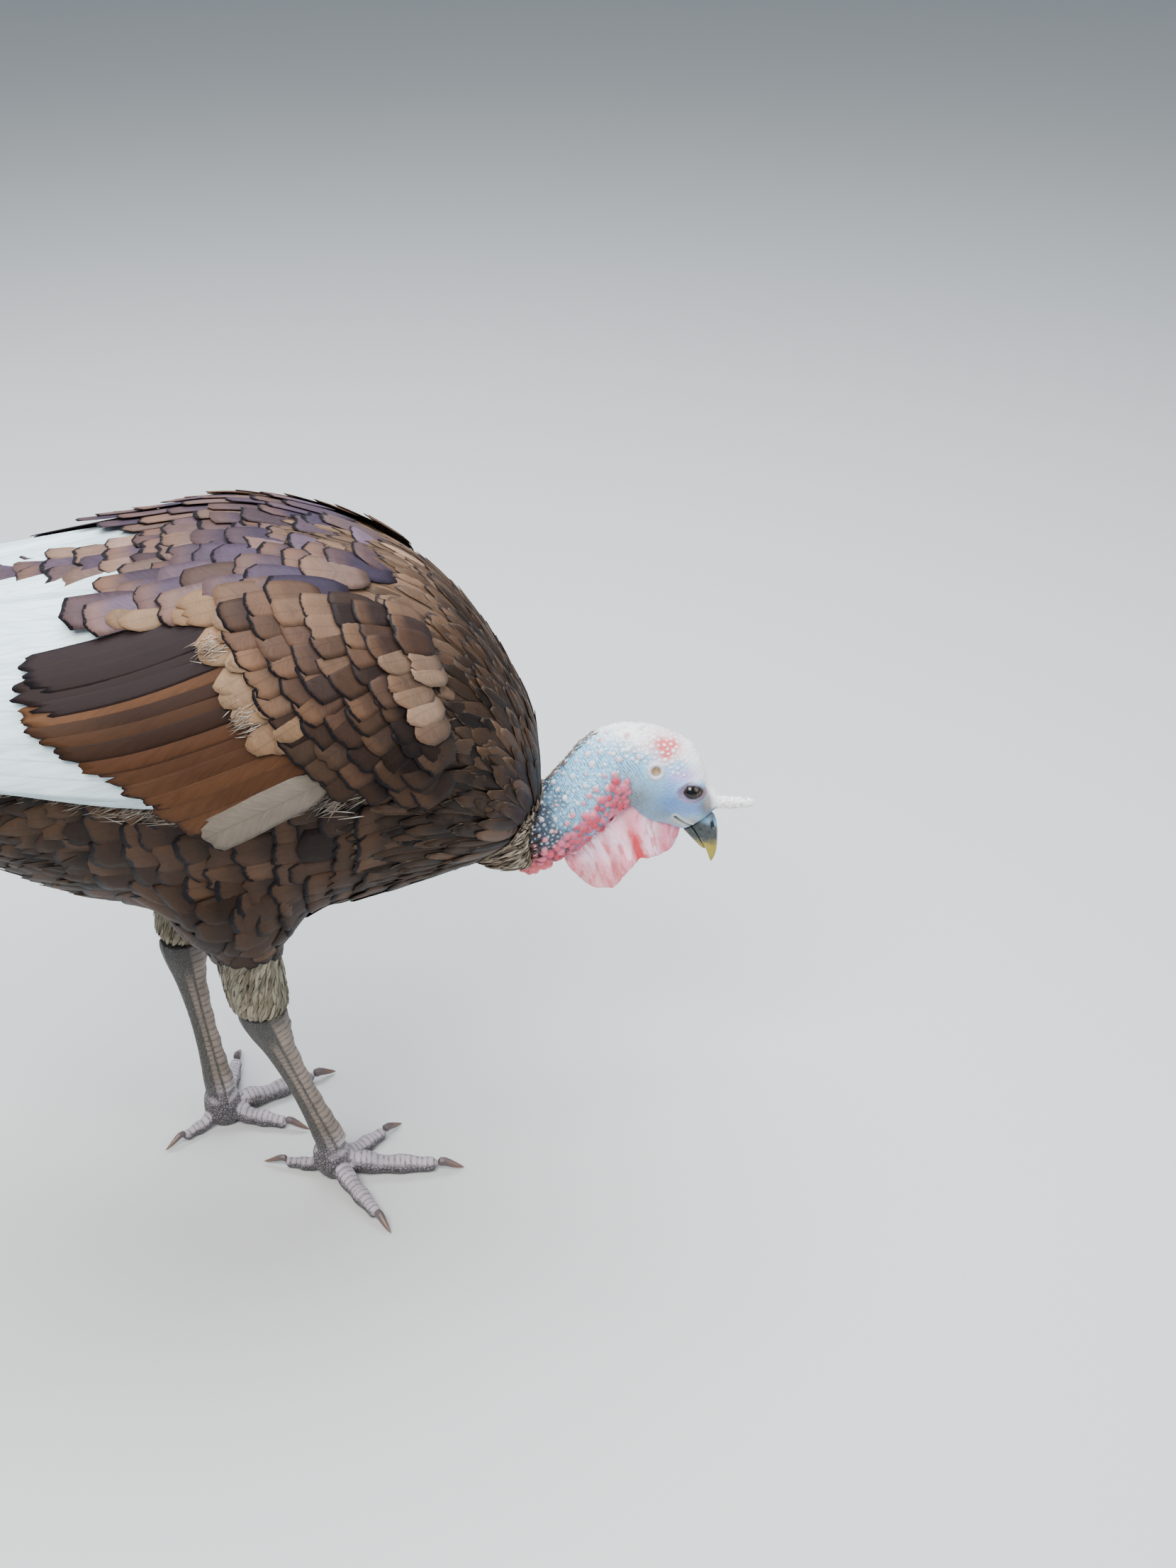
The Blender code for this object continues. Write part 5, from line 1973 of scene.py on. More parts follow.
@dataclass(frozen=True)
class FacePaint:
    """The colours of the bare head, which the bill's base shares.

    Patches give place, size, colour and strength on the side of the head.
    """

    slate: Colour = (0.040, 0.055, 0.085)
    light_blue: Colour = (0.36, 0.68, 0.90)
    red: Colour = (0.72, 0.13, 0.15)
    pale_blue: Colour = (0.200, 0.500, 0.760)
    white: Colour = (0.93, 0.94, 0.95)
    patches: tuple[tuple[Pair, Pair, Colour, float], ...] = (
        ((-0.036, 0.000), (0.020, 0.012), (0.175, 0.195, 0.205), 0.80),
        ((-0.044, 0.012), (0.008, 0.010), (0.36, 0.30, 0.32), 0.45),
        ((-0.018, -0.011), (0.014, 0.007), (0.165, 0.205, 0.225), 0.80),
        ((-0.014, -0.003), (0.011, 0.008), (0.085, 0.190, 0.430), 0.90),
        ((0.000, -0.0075), (0.012, 0.006), (0.130, 0.200, 0.480), 0.85),
        ((-0.014, 0.008), (0.007, 0.006), (0.150, 0.270, 0.560), 0.75),
        ((0.0105, -0.0065), (0.006, 0.008), (0.060, 0.056, 0.066), 0.92),
        ((-0.006, 0.0155), (0.010, 0.0050), (0.50, 0.36, 0.76), 0.85),
        ((-0.008, -0.0180), (0.010, 0.0035), (0.42, 0.41, 0.37), 0.80),
        ((0.0015, -0.0160), (0.006, 0.0030), (0.34, 0.30, 0.24), 0.60),
        ((0.0125, -0.0040), (0.0040, 0.0060), (0.38, 0.31, 0.27), 0.75),
        ((0.0040, -0.0215), (0.0060, 0.0050), (0.11, 0.12, 0.14), 0.75),
        ((0.0150, -0.0150), (0.0050, 0.0060), (0.070, 0.080, 0.100), 0.85),
    )
    red_patch: Pair = (-0.0182, 0.0350)
    red_size: Pair = (0.0095, 0.0085)

    def colours(self, local: Array, raised: Array) -> Array:
        """Colours of the skin before its bumps are painted.

        Args:
            local: Forward, height and left of each point.
            raised: How much each point belongs to a bump.

        Returns:
            A colour for each point.
        """
        f, h, s = local.T
        spots, clouds = cloudy(local, 0.0022), cloudy(local, 0.0075, 2)
        base = blend(self.pale_blue, self.light_blue, np.clip(0.5 * spots + 0.3, 0, 1))
        foot = ease(-0.070, -0.104, f + 0.35 * (h + 0.010) + 0.006 * clouds)
        crown = ease(0.012, 0.032, h + 0.30 * f + 0.005 * clouds) * ease(-0.100, -0.050, f)
        forehead = ease(-0.006, 0.004, f) * ease(0.007, 0.014, h)
        base = layered(base, (self.slate, foot), (self.white, crown), (self.white, forehead))
        for place, size, colour, strength in self.patches:
            share = strength * soft_spot(local, place, size) * (0.90 + 0.10 * spots)
            base = blend(base, colour, np.clip(1.15 * share, 0, 1))
        bridge = ease(0.004, 0.010, f) * ease(-0.0105, -0.0060, h) * ease(0.0085, 0.0055, np.abs(s))
        red = soft_spot(local, self.red_patch, self.red_size) * (0.8 + 0.4 * clouds)
        seams = np.clip(1.5 * red * (1 - 0.9 * raised), 0, 1)
        return layered(base, (self.white, bridge), (self.red, seams))


@dataclass(frozen=True)
class BumpGroup:
    """A group of skin bumps.

    Args:
        band: Least and greatest distance from the front line of the neck.
        gap: Least distance between bumps.
        radius: Least and greatest radius.
        height: Height as a share of the radius.
        colour: Their colour.
        share: How much of the colour shows.
    """

    band: Pair
    gap: float
    radius: Pair
    height: float
    colour: Colour
    share: float


class BumpKind(Enum):
    """The sorts of bump on the head and neck."""

    CARUNCLE = BumpGroup((0.0, 0.0075), 0.0044, (0.0026, 0.0048), 0.66, (0.52, 0.030, 0.062), 1.0)
    CORAL = BumpGroup((0.0068, 0.0155), 0.0060, (0.0017, 0.0032), 0.62, (0.68, 0.25, 0.30), 0.95)
    PEARL = BumpGroup((0.0150, 0.1000), 0.0074, (0.0015, 0.0027), 0.48, (0.84, 0.84, 0.88), 0.88)
    GRAIN = BumpGroup((0.0090, 0.1000), 0.0031, (0.0008, 0.0014), 0.45, (0.60, 0.72, 0.80), 0.60)
    CROWN = BumpGroup((0.0000, 0.2000), 0.0033, (0.0009, 0.0018), 0.36, (0.95, 0.92, 0.93), 0.70)


@dataclass
class BareHead:
    """The bare head and neck, with lids, ears, mouth line, caruncles and bristles."""

    frame: dict
    axes: HeadFrame = field(default_factory=HeadFrame)
    paint: FacePaint = field(default_factory=FacePaint)
    first_grain: float = 0.0016
    grain: float = 0.00068
    eye: Pair = (0.0, 0.0035)
    eye_side: float = 0.0089
    eye_radius: float = 0.0076
    lid: Pair = (67.0, 34.0)
    ear: Pair = (-0.0243, 0.0186)
    ear_size: Pair = (0.0046, 0.0046)
    gape: Pair = (-0.0112, -0.0136)
    gape_end: Pair = (0.0060, -0.0225)
    snood_height: float = -0.0030
    lobes: tuple[tuple[float, float, float, float], ...] = (
        (-0.1110, -0.0485, -0.0040, 0.0072),
        (-0.1025, -0.0455, -0.0040, 0.0066),
    )
    front_line: Line = (
        (-0.106, -0.046), (-0.091, -0.040), (-0.076, -0.028), (-0.062, -0.012), (-0.050, 0.000),
        (-0.046, 0.008),
    )

    def make_skin(self) -> Piece:
        """One even skin over head and neck, smoothed before the detail is raised on it.

        Returns:
            The skin.
        """
        nodes = [self.frame["nodes"][name] for name in ("head", "neck_upper")]
        lobes = []
        sockets = [(*self.eye, side * self.eye_side, self.eye_radius - 0.0002) for side in (-1, 1)]
        for forward, height, left, radius in (*self.lobes, *sockets):
            deselect_all()
            place = self.axes.place(forward, height, left)
            bpy.ops.mesh.primitive_ico_sphere_add(subdivisions=4, radius=radius, location=place)
            bpy.ops.object.transform_apply(location=True)
            lobes.append(bpy.context.object)
        skin = joined_copy("head_skin", nodes + lobes)
        for lobe in lobes:
            bpy.data.objects.remove(lobe)
        reskin(skin, self.first_grain, 12)
        reskin(skin, self.grain, 8)
        return skin

    def _from_front(self, local: Array) -> Array:
        """Distance from the front line of the neck, seen from the side.

        Args:
            local: Places in the head's frame.

        Returns:
            A distance for each place.
        """
        spans = zip(self.front_line[:-1], self.front_line[1:])
        offsets = [off_line(local, start, end)[1] for start, end in spans]
        return np.min(np.linalg.norm(offsets, axis=-1), axis=0)

    def _mouth(self, local: Array) -> Array:
        """Distance from the line of the mouth, which curves a little."""
        share, off = off_line(local, self.gape, self.gape_end)
        return np.hypot(off[:, 0], off[:, 1] + 0.0012 * np.sin(math.pi * share))

    def _lid_ring(self, local: Array) -> Array:
        """Distance from the eye's axis over the eyeball, 1 at the edge of the lids.

        Args:
            local: Places in the head's frame.

        Returns:
            A distance for each place.
        """
        f, h, s = local.T
        ahead, over, out = f - self.eye[0], h - self.eye[1], np.abs(s) - self.eye_side
        across = np.hypot(ahead, over) + 1e-9
        turn = np.degrees(np.arctan2(across, out))
        beyond = np.maximum(1.0, np.hypot(across, out) / (1.3 * self.eye_radius)) ** 2
        return turn * beyond * np.hypot(ahead / across / self.lid[0], over / across / self.lid[1])

    def _wrap_lids(self, points: Array, local: Array) -> Array:
        """Lays the skin over both eyeballs as lids, and sinks it inside their opening.

        Args:
            points: Vertex places.
            local: The same places in the head's frame, before any change.

        Returns:
            The new places.
        """
        ring = self._lid_ring(local)
        for side in (-1, 1):
            away = points - self.axes.place(*self.eye, side * self.eye_side)
            distance = np.linalg.norm(away, axis=1)
            edge = 0.0012 * peak(ring, 1.16, 0.15)
            fold = 0.0007 * peak(ring, 1.80, 0.20)
            sunk = self.eye_radius - 0.0013
            over = self.eye_radius + 0.0005 + edge + fold
            target = sunk + (over - sunk) * ease(0.90, 1.03, ring)
            inward = distance > target
            weight = np.where(inward, ease(1.45, 1.05, ring), ease(2.3, 1.5, ring))
            weight = weight * (local[:, 2] * side > 0.002)
            points = points + away * ((target / distance - 1) * weight)[:, None]
        return points

    def shape(self, skin: Piece) -> None:
        """Raises the features on the skin and paints it.

        Args:
            skin: The smooth skin.
        """
        rng = np.random.default_rng(61)
        points, normals = read_points(skin), read_normals(skin)
        local = self.axes.inside(points)
        flank = ease(0.35, 0.6, np.abs(unit(normals) @ np.array(self.axes.left)))
        ear = ring_distance(local, self.ear, self.ear_size)
        mouth = self._mouth(local)
        lift = 0.0017 * peak(ear, 1.02, 0.28) - 0.0006 * ease(0.72, 0.50, ear)
        lift += 0.0006 * peak(mouth, 0.0017, 0.0008) - 0.0016 * peak(mouth, 0.0, 0.0007)
        points = points + normals * (lift * flank)[:, None]
        reach = np.hypot(local[:, 1] - self.snood_height, local[:, 2])
        collar = 0.0050 * peak(np.maximum(reach - 0.0045, 0), 0.0, 0.0032)
        collar *= ease(-0.004, 0.003, local[:, 0])
        points = points + np.array(self.axes.forward) * collar[:, None]
        points = self._wrap_lids(points, local)
        write_points(skin, points)
        colours, strengths = self._raise_bumps(points, read_normals(skin), local, rng)
        write_points(skin, points)
        soften = skin.modifiers.new("soften", "SMOOTH")
        soften.factor, soften.iterations = 0.4, 1
        apply_modifiers(skin)
        ring = self._lid_ring(local)
        cup = np.array((0.46, 0.30, 0.17)) * (0.85 + 0.25 * cloudy(local, 0.0007, 4))[:, None]
        base = layered(
            self.paint.colours(local, strengths),
            (colours, strengths),
            ((0.20, 0.10, 0.17), 0.85 * peak(ring, 1.22, 0.26) * flank),
            ((0.26, 0.13, 0.10), 0.8 * soft_spot(local, (0.0085, 0.0030), (0.0030, 0.0030))),
            ((0.014, 0.010, 0.012), ease(1.10, 1.0, ring)),
            ((0.60, 0.58, 0.60), 0.9 * peak(ear, 1.02, 0.34) * flank),
            (cup, ease(0.74, 0.60, ear) * flank),
            ((0.58, 0.54, 0.48), 0.7 * peak(mouth, 0.0018, 0.0010) * flank),
            # The dark mouth line is painted shade in its groove.
            ((0.025, 0.022, 0.026), peak(mouth, 0.0, 0.0008)),
        )
        neck = ease(-0.022, -0.045, local[:, 0]) * ease(0.046, 0.030, local[:, 1]) * (1 - strengths)
        write_colours(skin, "paint", base, neck)

    def _areas(self, local: Array) -> dict[BumpKind, Array]:
        """Where each sort of bump may grow.

        Args:
            local: Places in the head's frame.

        Returns:
            For each sort, whether it may grow at each place.
        """
        f, h, _ = local.T
        band = self._from_front(local)
        neck = (f < -0.050) | ((f < -0.043) & (h < 0.012))
        crown = (h > 0.023 - 0.30 * (f + 0.03)) & (f > -0.070) & (f < -0.004)
        clear = (self._lid_ring(local) > 2.6) & (ring_distance(local, self.ear, self.ear_size) > 1.7)
        areas = {}
        for kind in BumpKind:
            low, high = kind.value.band
            place = crown if kind is BumpKind.CROWN else neck
            areas[kind] = clear & place & (band >= low) & (band < high)
        areas[BumpKind.PEARL] |= clear & (f < -0.034) & (h > 0.020) & (band > 0.019)
        return areas

    def _raise_bumps(self, points: Array, normals: Array, local: Array, rng: Dice) -> tuple[Array, Array]:
        """Raises every group of bumps in place.

        Args:
            points: Vertex places, which are changed.
            normals: The way that the skin faces.
            local: The places in the head's frame.
            rng: Source of places and sizes.

        Returns:
            A colour and its strength for each vertex.
        """
        colours, strengths = np.zeros_like(points), np.zeros(len(points))
        base, raised = points.copy(), np.zeros(len(points))
        for kind, area in self._areas(local).items():
            group = kind.value
            rows = np.flatnonzero(area)
            for i in rows[spots_apart(base[rows], np.full(len(rows), group.gap), rng)]:
                radius = rng.uniform(*group.radius)
                offset = base - base[i]
                lean = unit(np.cross(normals[i], rng.normal(size=3)))
                stretch = (offset @ lean) ** 2 * (1 / rng.uniform(0.72, 1.0) ** 2 - 1)
                reach = (offset**2).sum(1) + stretch
                if kind is not BumpKind.GRAIN:
                    # A dark ring round each raised bump: painted shade in the groove at its foot.
                    groove_shade = (reach < (1.22 * radius) ** 2) & (raised == 0)
                    strengths[groove_shade] = np.maximum(strengths[groove_shade], 0.30)
                close = np.flatnonzero(reach < radius**2)
                dome = (1 - reach[close] / radius**2) ** 0.75 * radius * group.height
                higher = dome > raised[close]
                rows_up = close[higher]
                raised[rows_up] = dome[higher]
                points[rows_up] = base[rows_up] + normals[i] * dome[higher, None]
                tone = np.array(group.colour) * rng.uniform(0.88, 1.10)
                if kind in (BumpKind.CORAL, BumpKind.PEARL):
                    tone = blend(tone, (0.68, 0.27, 0.29), rng.random() ** 2)
                top = np.clip(1.6 * (1 - reach[rows_up] / radius**2), 0, 1)
                strength = group.share * top
                if kind is BumpKind.CARUNCLE:
                    tone = blend(tone, (0.72, 0.22, 0.32), 0.7 * rng.random() ** 1.5)
                    # Darker towards each caruncle's foot and lighter on its top: painted shade between the
                    # caruncles.
                    tone = tone * (0.45 + 0.55 * top)[:, None]
                    strength = np.maximum(strength, 0.75)
                colours[rows_up], strengths[rows_up] = tone, strength
        for forward, height, left, radius in self.lobes:
            away = np.linalg.norm(base - self.axes.place(forward, height, left), axis=1)
            share = ease(radius * 1.25, radius * 1.05, away)
            colours = blend(colours, (0.66, 0.15, 0.17), share)
            strengths = np.maximum(strengths, share)
        return colours, strengths

    def make_eye(self, side: int) -> Piece:
        """One eye, its ring attribute 0 on the eye's axis and 1 where the iris ends.

        Args:
            side: 1 for the left eye and -1 for the right.

        Returns:
            The eyeball.
        """
        deselect_all()
        bpy.ops.mesh.primitive_uv_sphere_add(segments=40, ring_count=28, radius=self.eye_radius)
        eye = bpy.context.object
        eye.name = "eyeball_left" if side > 0 else "eyeball_right"
        points = read_points(eye)
        axis = unit(np.array(self.axes.left))
        ahead = np.array(self.axes.forward)
        up = unit(np.cross(ahead, axis))
        turned = points @ np.array((up, ahead, axis))
        from_axis = np.degrees(np.arccos(np.clip(side * points[:, 2] / self.eye_radius, -1, 1))) / 62
        write_points(eye, turned + self.axes.place(*self.eye, side * self.eye_side))
        face_outwards(eye)
        layer = eye.data.attributes.new("ring", "FLOAT", "POINT")
        layer.data.foreach_set("value", from_axis)
        eye.data.shade_smooth()
        return eye

    def bristles(self, ground: Ground) -> Piece:
        """Fine hairs on the head, and soft brown fuzz up the nape and round the neck's foot.

        Args:
            ground: The finished skin.

        Returns:
            All the hairs as one object.
        """
        rng = np.random.default_rng(71)
        batch = FeatherBatch("neck_bristles", rng)
        places = ground.candidates(0.0026, rng)
        f, h, s = self.axes.inside(places).T
        nape = (np.abs(s) < 0.0075) & (h > 0.0) & (f < -0.062) & (f > -0.105)
        foot = (f < -0.101 - 0.10 * (h + 0.03)) & (h > -0.040)
        hair = (h > 0.020) & (f > -0.062) & (f < -0.004)
        fuzz = ((0.30, 0.22, 0.17), (0.20, 0.14, 0.10), (0.42, 0.34, 0.28))
        brown = ((0.075, 0.050, 0.038), (0.13, 0.09, 0.07), (0.045, 0.032, 0.028))
        for mask, gap, length, width, colours in (
            (nape, 0.0015, 0.0062, 0.0006, fuzz),
            (foot, 0.0019, 0.0085, 0.0012, brown),
            (hair, 0.0080, 0.0030, 0.0002, ((0.24, 0.20, 0.18),)),
        ):
            rows = np.flatnonzero(mask)
            picked = rows[spots_apart(places[rows], np.full(len(rows), gap), rng)]
            number = len(picked)
            lie = -np.array(self.axes.forward) + rng.normal(0, 0.28, (number, 3))
            points = ground.lay(
                FeatherKind.TUFT,
                places[picked],
                lie,
                length * rng.uniform(0.6, 1.3, number),
                width * rng.uniform(0.7, 1.3, number),
                np.full(number, -0.0002),
                rng.uniform(0.08, 0.28, number),
                rng,
            )
            tints, marks = Palette(colours).pick(number, rng)
            f0, h0, s0 = self.axes.inside(places[picked]).T
            around = np.arctan2(s0, h0 + 0.02) / (2 * math.pi) + 0.5
            roots = np.stack([(f0 + 0.15) / 0.19, around], -1)
            batch.add(FeatherKind.TUFT, points, tints, marks, np.clip(roots, 0.02, 0.98))
        return batch.build()

    def dress(self, finishes: dict[str, Material]) -> Ground:
        """Builds head, neck and eyes and hands them over.

        Args:
            finishes: The materials by name.

        Returns:
            The finished skin, for what joins it.
        """
        skin = self.make_skin()
        self.shape(skin)
        hand_over(skin, finishes["skin"], "bare_skin", "head", "neck_upper")
        ground = Ground(skin)
        hand_over(self.bristles(ground), finishes["feather"], "bare_skin")
        for side, node in ((1, "eye_left"), (-1, "eye_right")):
            hand_over(self.make_eye(side), finishes["eye"], "eye", node)
        return ground


@dataclass
class HeadFittings:
    """Bill, snood and wattle."""

    frame: dict
    ground: Ground
    axes: HeadFrame = field(default_factory=HeadFrame)
    paint: FacePaint = field(default_factory=FacePaint)

    def _copy(self, name: str, node: str, grain: float, rounds: int) -> tuple[Piece, Array, Array]:
        """An even, smoothed copy of one CAD node, its places and the way that it faces.

        Args:
            name: The copy's name.
            node: The node to copy.
            grain: The size of the new faces.
            rounds: How many times it is smoothed.

        Returns:
            The copy, its vertex places and its normals.
        """
        piece = joined_copy(name, [self.frame["nodes"][node]])
        reskin(piece, grain, rounds)
        return piece, read_points(piece), read_normals(piece)

    def bill(self, name: str, node: str) -> Piece:
        """One half of the bill, with the face's colours at its base and horn-yellow at its tip.

        Args:
            name: The piece's name.
            node: The CAD node that it follows.

        Returns:
            The painted half.
        """
        piece, points, normals = self._copy(name, node, 0.00045, 5)
        local = self.axes.inside(points)
        f, h, _ = local.T
        pit = soft_spot(local, (0.0150, -0.0205), (0.0018, 0.0036))
        hood = soft_spot(local, (0.0128, -0.0200), (0.0018, 0.0044))
        write_points(piece, points + normals * (0.0007 * hood - 0.0009 * pit)[:, None])
        grain = cloudy(local, 0.0030, 5)
        fine = cloudy(local * np.array((1.0, 0.5, 1.0)), 0.0012, 12)
        mottle = np.clip(0.30 + 0.18 * grain + 0.22 * fine, 0, 1)
        grey = blend((0.020, 0.025, 0.026), (0.085, 0.098, 0.098), mottle)
        base = layered(
            self.paint.colours(local, np.zeros(len(local))),
            (grey, ease(-0.0165, -0.0215, h + 0.35 * (f - 0.010))),
            ((0.34, 0.26, 0.022), ease(-0.0285, -0.0350, h + 0.10 * f + 0.0012 * grain)),
            ((0.25, 0.20, 0.03), 0.7 * ease(-0.0400, -0.0480, h)),
            # The near-black nostril is painted shade in its hollow.
            ((0.012, 0.012, 0.016), ease(0.30, 0.75, pit)),
        )
        write_colours(piece, "paint", base)
        return piece

    def snood(self) -> Piece:
        """The snood, ringed with soft wrinkles.

        Returns:
            The painted snood.
        """
        piece, points, normals = self._copy("snood_skin", "snood", 0.00050, 4)
        local = self.axes.inside(points)
        lumps, fine = cloudy(local, 0.0026, 6), cloudy(local, 0.0011, 7)
        rings = np.sin(local[:, 0] * 2 * math.pi / 0.0019 + 3.0 * lumps)
        swell = 0.00016 * rings + 0.00038 * lumps + 0.00018 * fine
        swell += 0.0011 * ease(0.012, 0.040, local[:, 0])
        write_points(piece, points + normals * swell[:, None])
        hollows = 0.7 * np.clip(-0.9 * lumps - 0.25, 0, 1)
        specks = ease(0.80, 0.98, cloudy(local, 0.0009, 8))
        base = blend((0.92, 0.91, 0.92), (0.72, 0.55, 0.53), hollows)
        write_colours(piece, "paint", blend(base, (0.13, 0.09, 0.08), 0.8 * specks), 0.0)
        return piece

    def wattle(self) -> Piece:
        """The pleated wattle, redder in its folds and along its rim, its root in the skin.

        Returns:
            The painted wattle.
        """
        piece, points, normals = self._copy("wattle_skin_fold", "wattle", 0.00060, 7)
        places, _ = self.ground.settle(points)
        gap = np.linalg.norm(places - points, axis=1)
        f, h, s = self.axes.inside(points).T
        drop = ease(-0.006, -0.050, h)
        fan = f + 0.35 * (h + 0.02)
        pleat = np.sin(fan * 2 * math.pi / 0.0155 + 0.8)
        strands = cloudy(np.stack([fan, 0.22 * h, s], -1), 0.0018, 9)
        wide = cloudy(np.stack([fan, 0.30 * h, s], -1), 0.0070, 10)
        sway = np.array(self.axes.left) * (0.0014 * pleat * drop)[:, None]
        root = (places - points) * (2.0 * ease(0.0065, 0.0025, gap))[:, None]
        write_points(piece, points + sway + root + normals * (0.00030 * strands)[:, None])
        stripe = peak(fan, -0.0425, 0.0045) + 0.5 * peak(fan, -0.062, 0.003)
        base = layered(
            blend((0.95, 0.42, 0.54), (0.86, 0.76, 0.88), np.clip(0.55 + 0.35 * pleat + 0.6 * wide, 0, 1)),
            ((0.60, 0.16, 0.20), 0.75 * ease(0.15, 0.75, strands)),
            ((0.56, 0.10, 0.17), ease(-0.031, -0.017, f) * (0.66 + 0.3 * wide)),
            ((0.60, 0.030, 0.045), np.clip(stripe * (0.35 + drop), 0, 0.97)),
            ((0.60, 0.13, 0.14), 0.65 * ease(-0.046, -0.062, h + 0.2 * (f + 0.04))),
        )
        write_colours(piece, "paint", base, 0.0)
        return piece

    def dress(self, finishes: dict[str, Material]) -> None:
        """Builds bill, snood and wattle and hands them over.

        Args:
            finishes: The materials by name.
        """
        for piece, finish, slot, node in (
            (self.bill("bill_horn_upper", "bill_upper"), "horn", "horn", "bill_upper"),
            (self.bill("bill_horn_lower", "bill_lower"), "horn", "horn", "bill_lower"),
            (self.snood(), "soft_skin", "bare_skin", "snood"),
            (self.wattle(), "soft_skin", "wattle_skin", "wattle"),
        ):
            hand_over(piece, finishes[finish], slot, node)


# Legs


def plate_row(wave: Array) -> Array:
    """Plates in a row, 1 on each and 0 in the seams, which fall on whole numbers."""
    return 1 - np.abs(2 * (wave % 1.0) - 1) ** 5


@dataclass
class Leg:
    """A bare scaly shank with its foot and claws."""

    frame: dict
    side: str
    foot: Triple
    heading: float
    hock: Triple
    toes: tuple[tuple[str, float, float], ...] = (
        ("middle", 0.0, 0.076),
        ("outer", 56.0, 0.061),
        ("inner", -47.0, 0.050),
        ("hind", -168.0, 0.036),
    )
    ankle_height: float = 0.030
    plate: float = 0.0052
    toe_plate: float = 0.0040
    grain: float = 0.00105
    claw_grain: float = 0.00042
    toe_width: float = 0.009
    toe_height: float = 0.0062

    def make_skin(self) -> Piece:
        """One skin over shank and foot, with plates down the front and along the toes.

        Returns:
            The painted skin.
        """
        nodes = [self.frame["nodes"][f"{part}_{self.side}"] for part in ("shank", "foot")]
        skin = joined_copy(f"leg_skin_{self.side}", nodes)
        reskin(skin, self.grain, 7)
        points, normals = read_points(skin), read_normals(skin)
        on_shank = ease(0.022, 0.034, points[:, 2])
        shank_plate, front, second, down = self._shank_plates(points, on_shank)
        toe_plate, toe_front = self._toe_plates(points, normals, on_shank)
        plate = np.where(toe_front > front, toe_plate, shank_plate)
        mask = np.maximum(np.maximum(front, toe_front), 0.8 * second)
        lift = 0.00050 * (plate - 0.6) * mask * ease(0.0015, 0.004, points[:, 2])
        write_points(skin, self._round_toes(points + normals * lift[:, None]))
        self._paint(skin, plate, mask, down)
        return skin

    def _shank_plates(self, points: Array, on_shank: Array) -> tuple[Array, Array, Array, Array]:
        """The two rows of plates on the shank.

        Args:
            points: Places on the skin.
            on_shank: How much each belongs to the shank.

        Returns:
            The plates, how much each point belongs to the front row and to the one beside it,
            and how far down the shank it is, from 0 to 1.
        """
        hock, foot = np.array(self.hock), np.array(self.foot)
        axis = foot + np.array((0.0, 0.0, self.ankle_height)) - hock
        length = float(np.linalg.norm(axis))
        axis = axis / length
        fore = unit(np.array((1.0, 0.0, 0.0)) - axis * axis[0])
        down = (points - hock) @ axis
        facing = unit(points - hock - down[:, None] * axis) @ fore
        wave = down / self.plate + 0.12 * np.sin(down * 400) + 0.35 * (1 - facing)
        front = ease(0.34, 0.48, facing) * on_shank
        second = ease(-0.30, -0.18, facing) * ease(0.30, 0.18, facing) * on_shank
        second *= ease(0.012, 0.030, down)
        beside = plate_row(down / (0.8 * self.plate) + 0.5)
        return np.where(second > front, beside, plate_row(wave)), front, second, down / length

    def _toe_run(self, points: Array, angle: float) -> tuple[Array, Array, Array]:
        """A toe's direction, and how far along it and aside from it each point is.

        Args:
            points: Places on the skin.
            angle: Degrees from the foot's heading.

        Returns:
            The three, in that order.
        """
        turn = -1 if self.side == "right" else 1
        heading = math.radians(self.heading + turn * angle)
        ahead = np.array((math.cos(heading), math.sin(heading), 0.0))
        away = points - np.array(self.foot)
        return ahead, away @ ahead, away @ np.array((-ahead[1], ahead[0], 0.0))

    def _toe_plates(self, points: Array, normals: Array, on_shank: Array) -> tuple[Array, Array]:
        """The plates along the tops of the toes.

        Args:
            points: Places on the skin.
            normals: The way that it faces there.
            on_shank: How much each belongs to the shank.

        Returns:
            The plates, and how much each point belongs to them.
        """
        toe_front, toe_plates = np.zeros(len(points)), np.zeros(len(points))
        for _, angle, reach in self.toes:
            _, along, aside = self._toe_run(points, angle)
            here = (np.abs(aside) < self.toe_width) & (along > 0.008) & (along < reach + 0.004)
            plates = plate_row(along / self.toe_plate + 0.1 * np.sin(along * 500))
            end = ease(reach - 0.006, reach, along) * ease(0.003, 0.006, points[:, 2])
            top = np.maximum(ease(0.15, 0.55, normals[:, 2]), end) * (1 - on_shank) * here
            toe_plates = np.where(here, plates, toe_plates)
            toe_front = np.maximum(toe_front, top)
        return toe_plates, toe_front

    def _round_toes(self, points: Array) -> Array:
        """Draws the end of each toe in to its claw, and swells its joints.

        Args:
            points: Places on the skin.

        Returns:
            The new places.
        """
        for _, angle, reach in self.toes:
            ahead, along, aside = self._toe_run(points, angle)
            here = (np.abs(aside) < self.toe_width) & (along > 0.014) & (points[:, 2] < 0.022)
            middle = np.array(self.foot) + along[:, None] * ahead
            middle[:, 2] = self.toe_height
            narrow = 0.16 * ease(reach - 0.020, reach - 0.002, along)
            joint = 0.07 * np.cos(2 * math.pi * along / (reach / 3.2)) * ease(0.014, 0.020, along)
            share = np.where(here, joint * (1 - narrow) - narrow, 0.0)
            share = np.where(points[:, 2] < 0.0012, np.minimum(share, 0.0), share)
            points = points + (points - middle) * share[:, None]
        points[:, 2] = np.maximum(points[:, 2], 0.0)
        return points

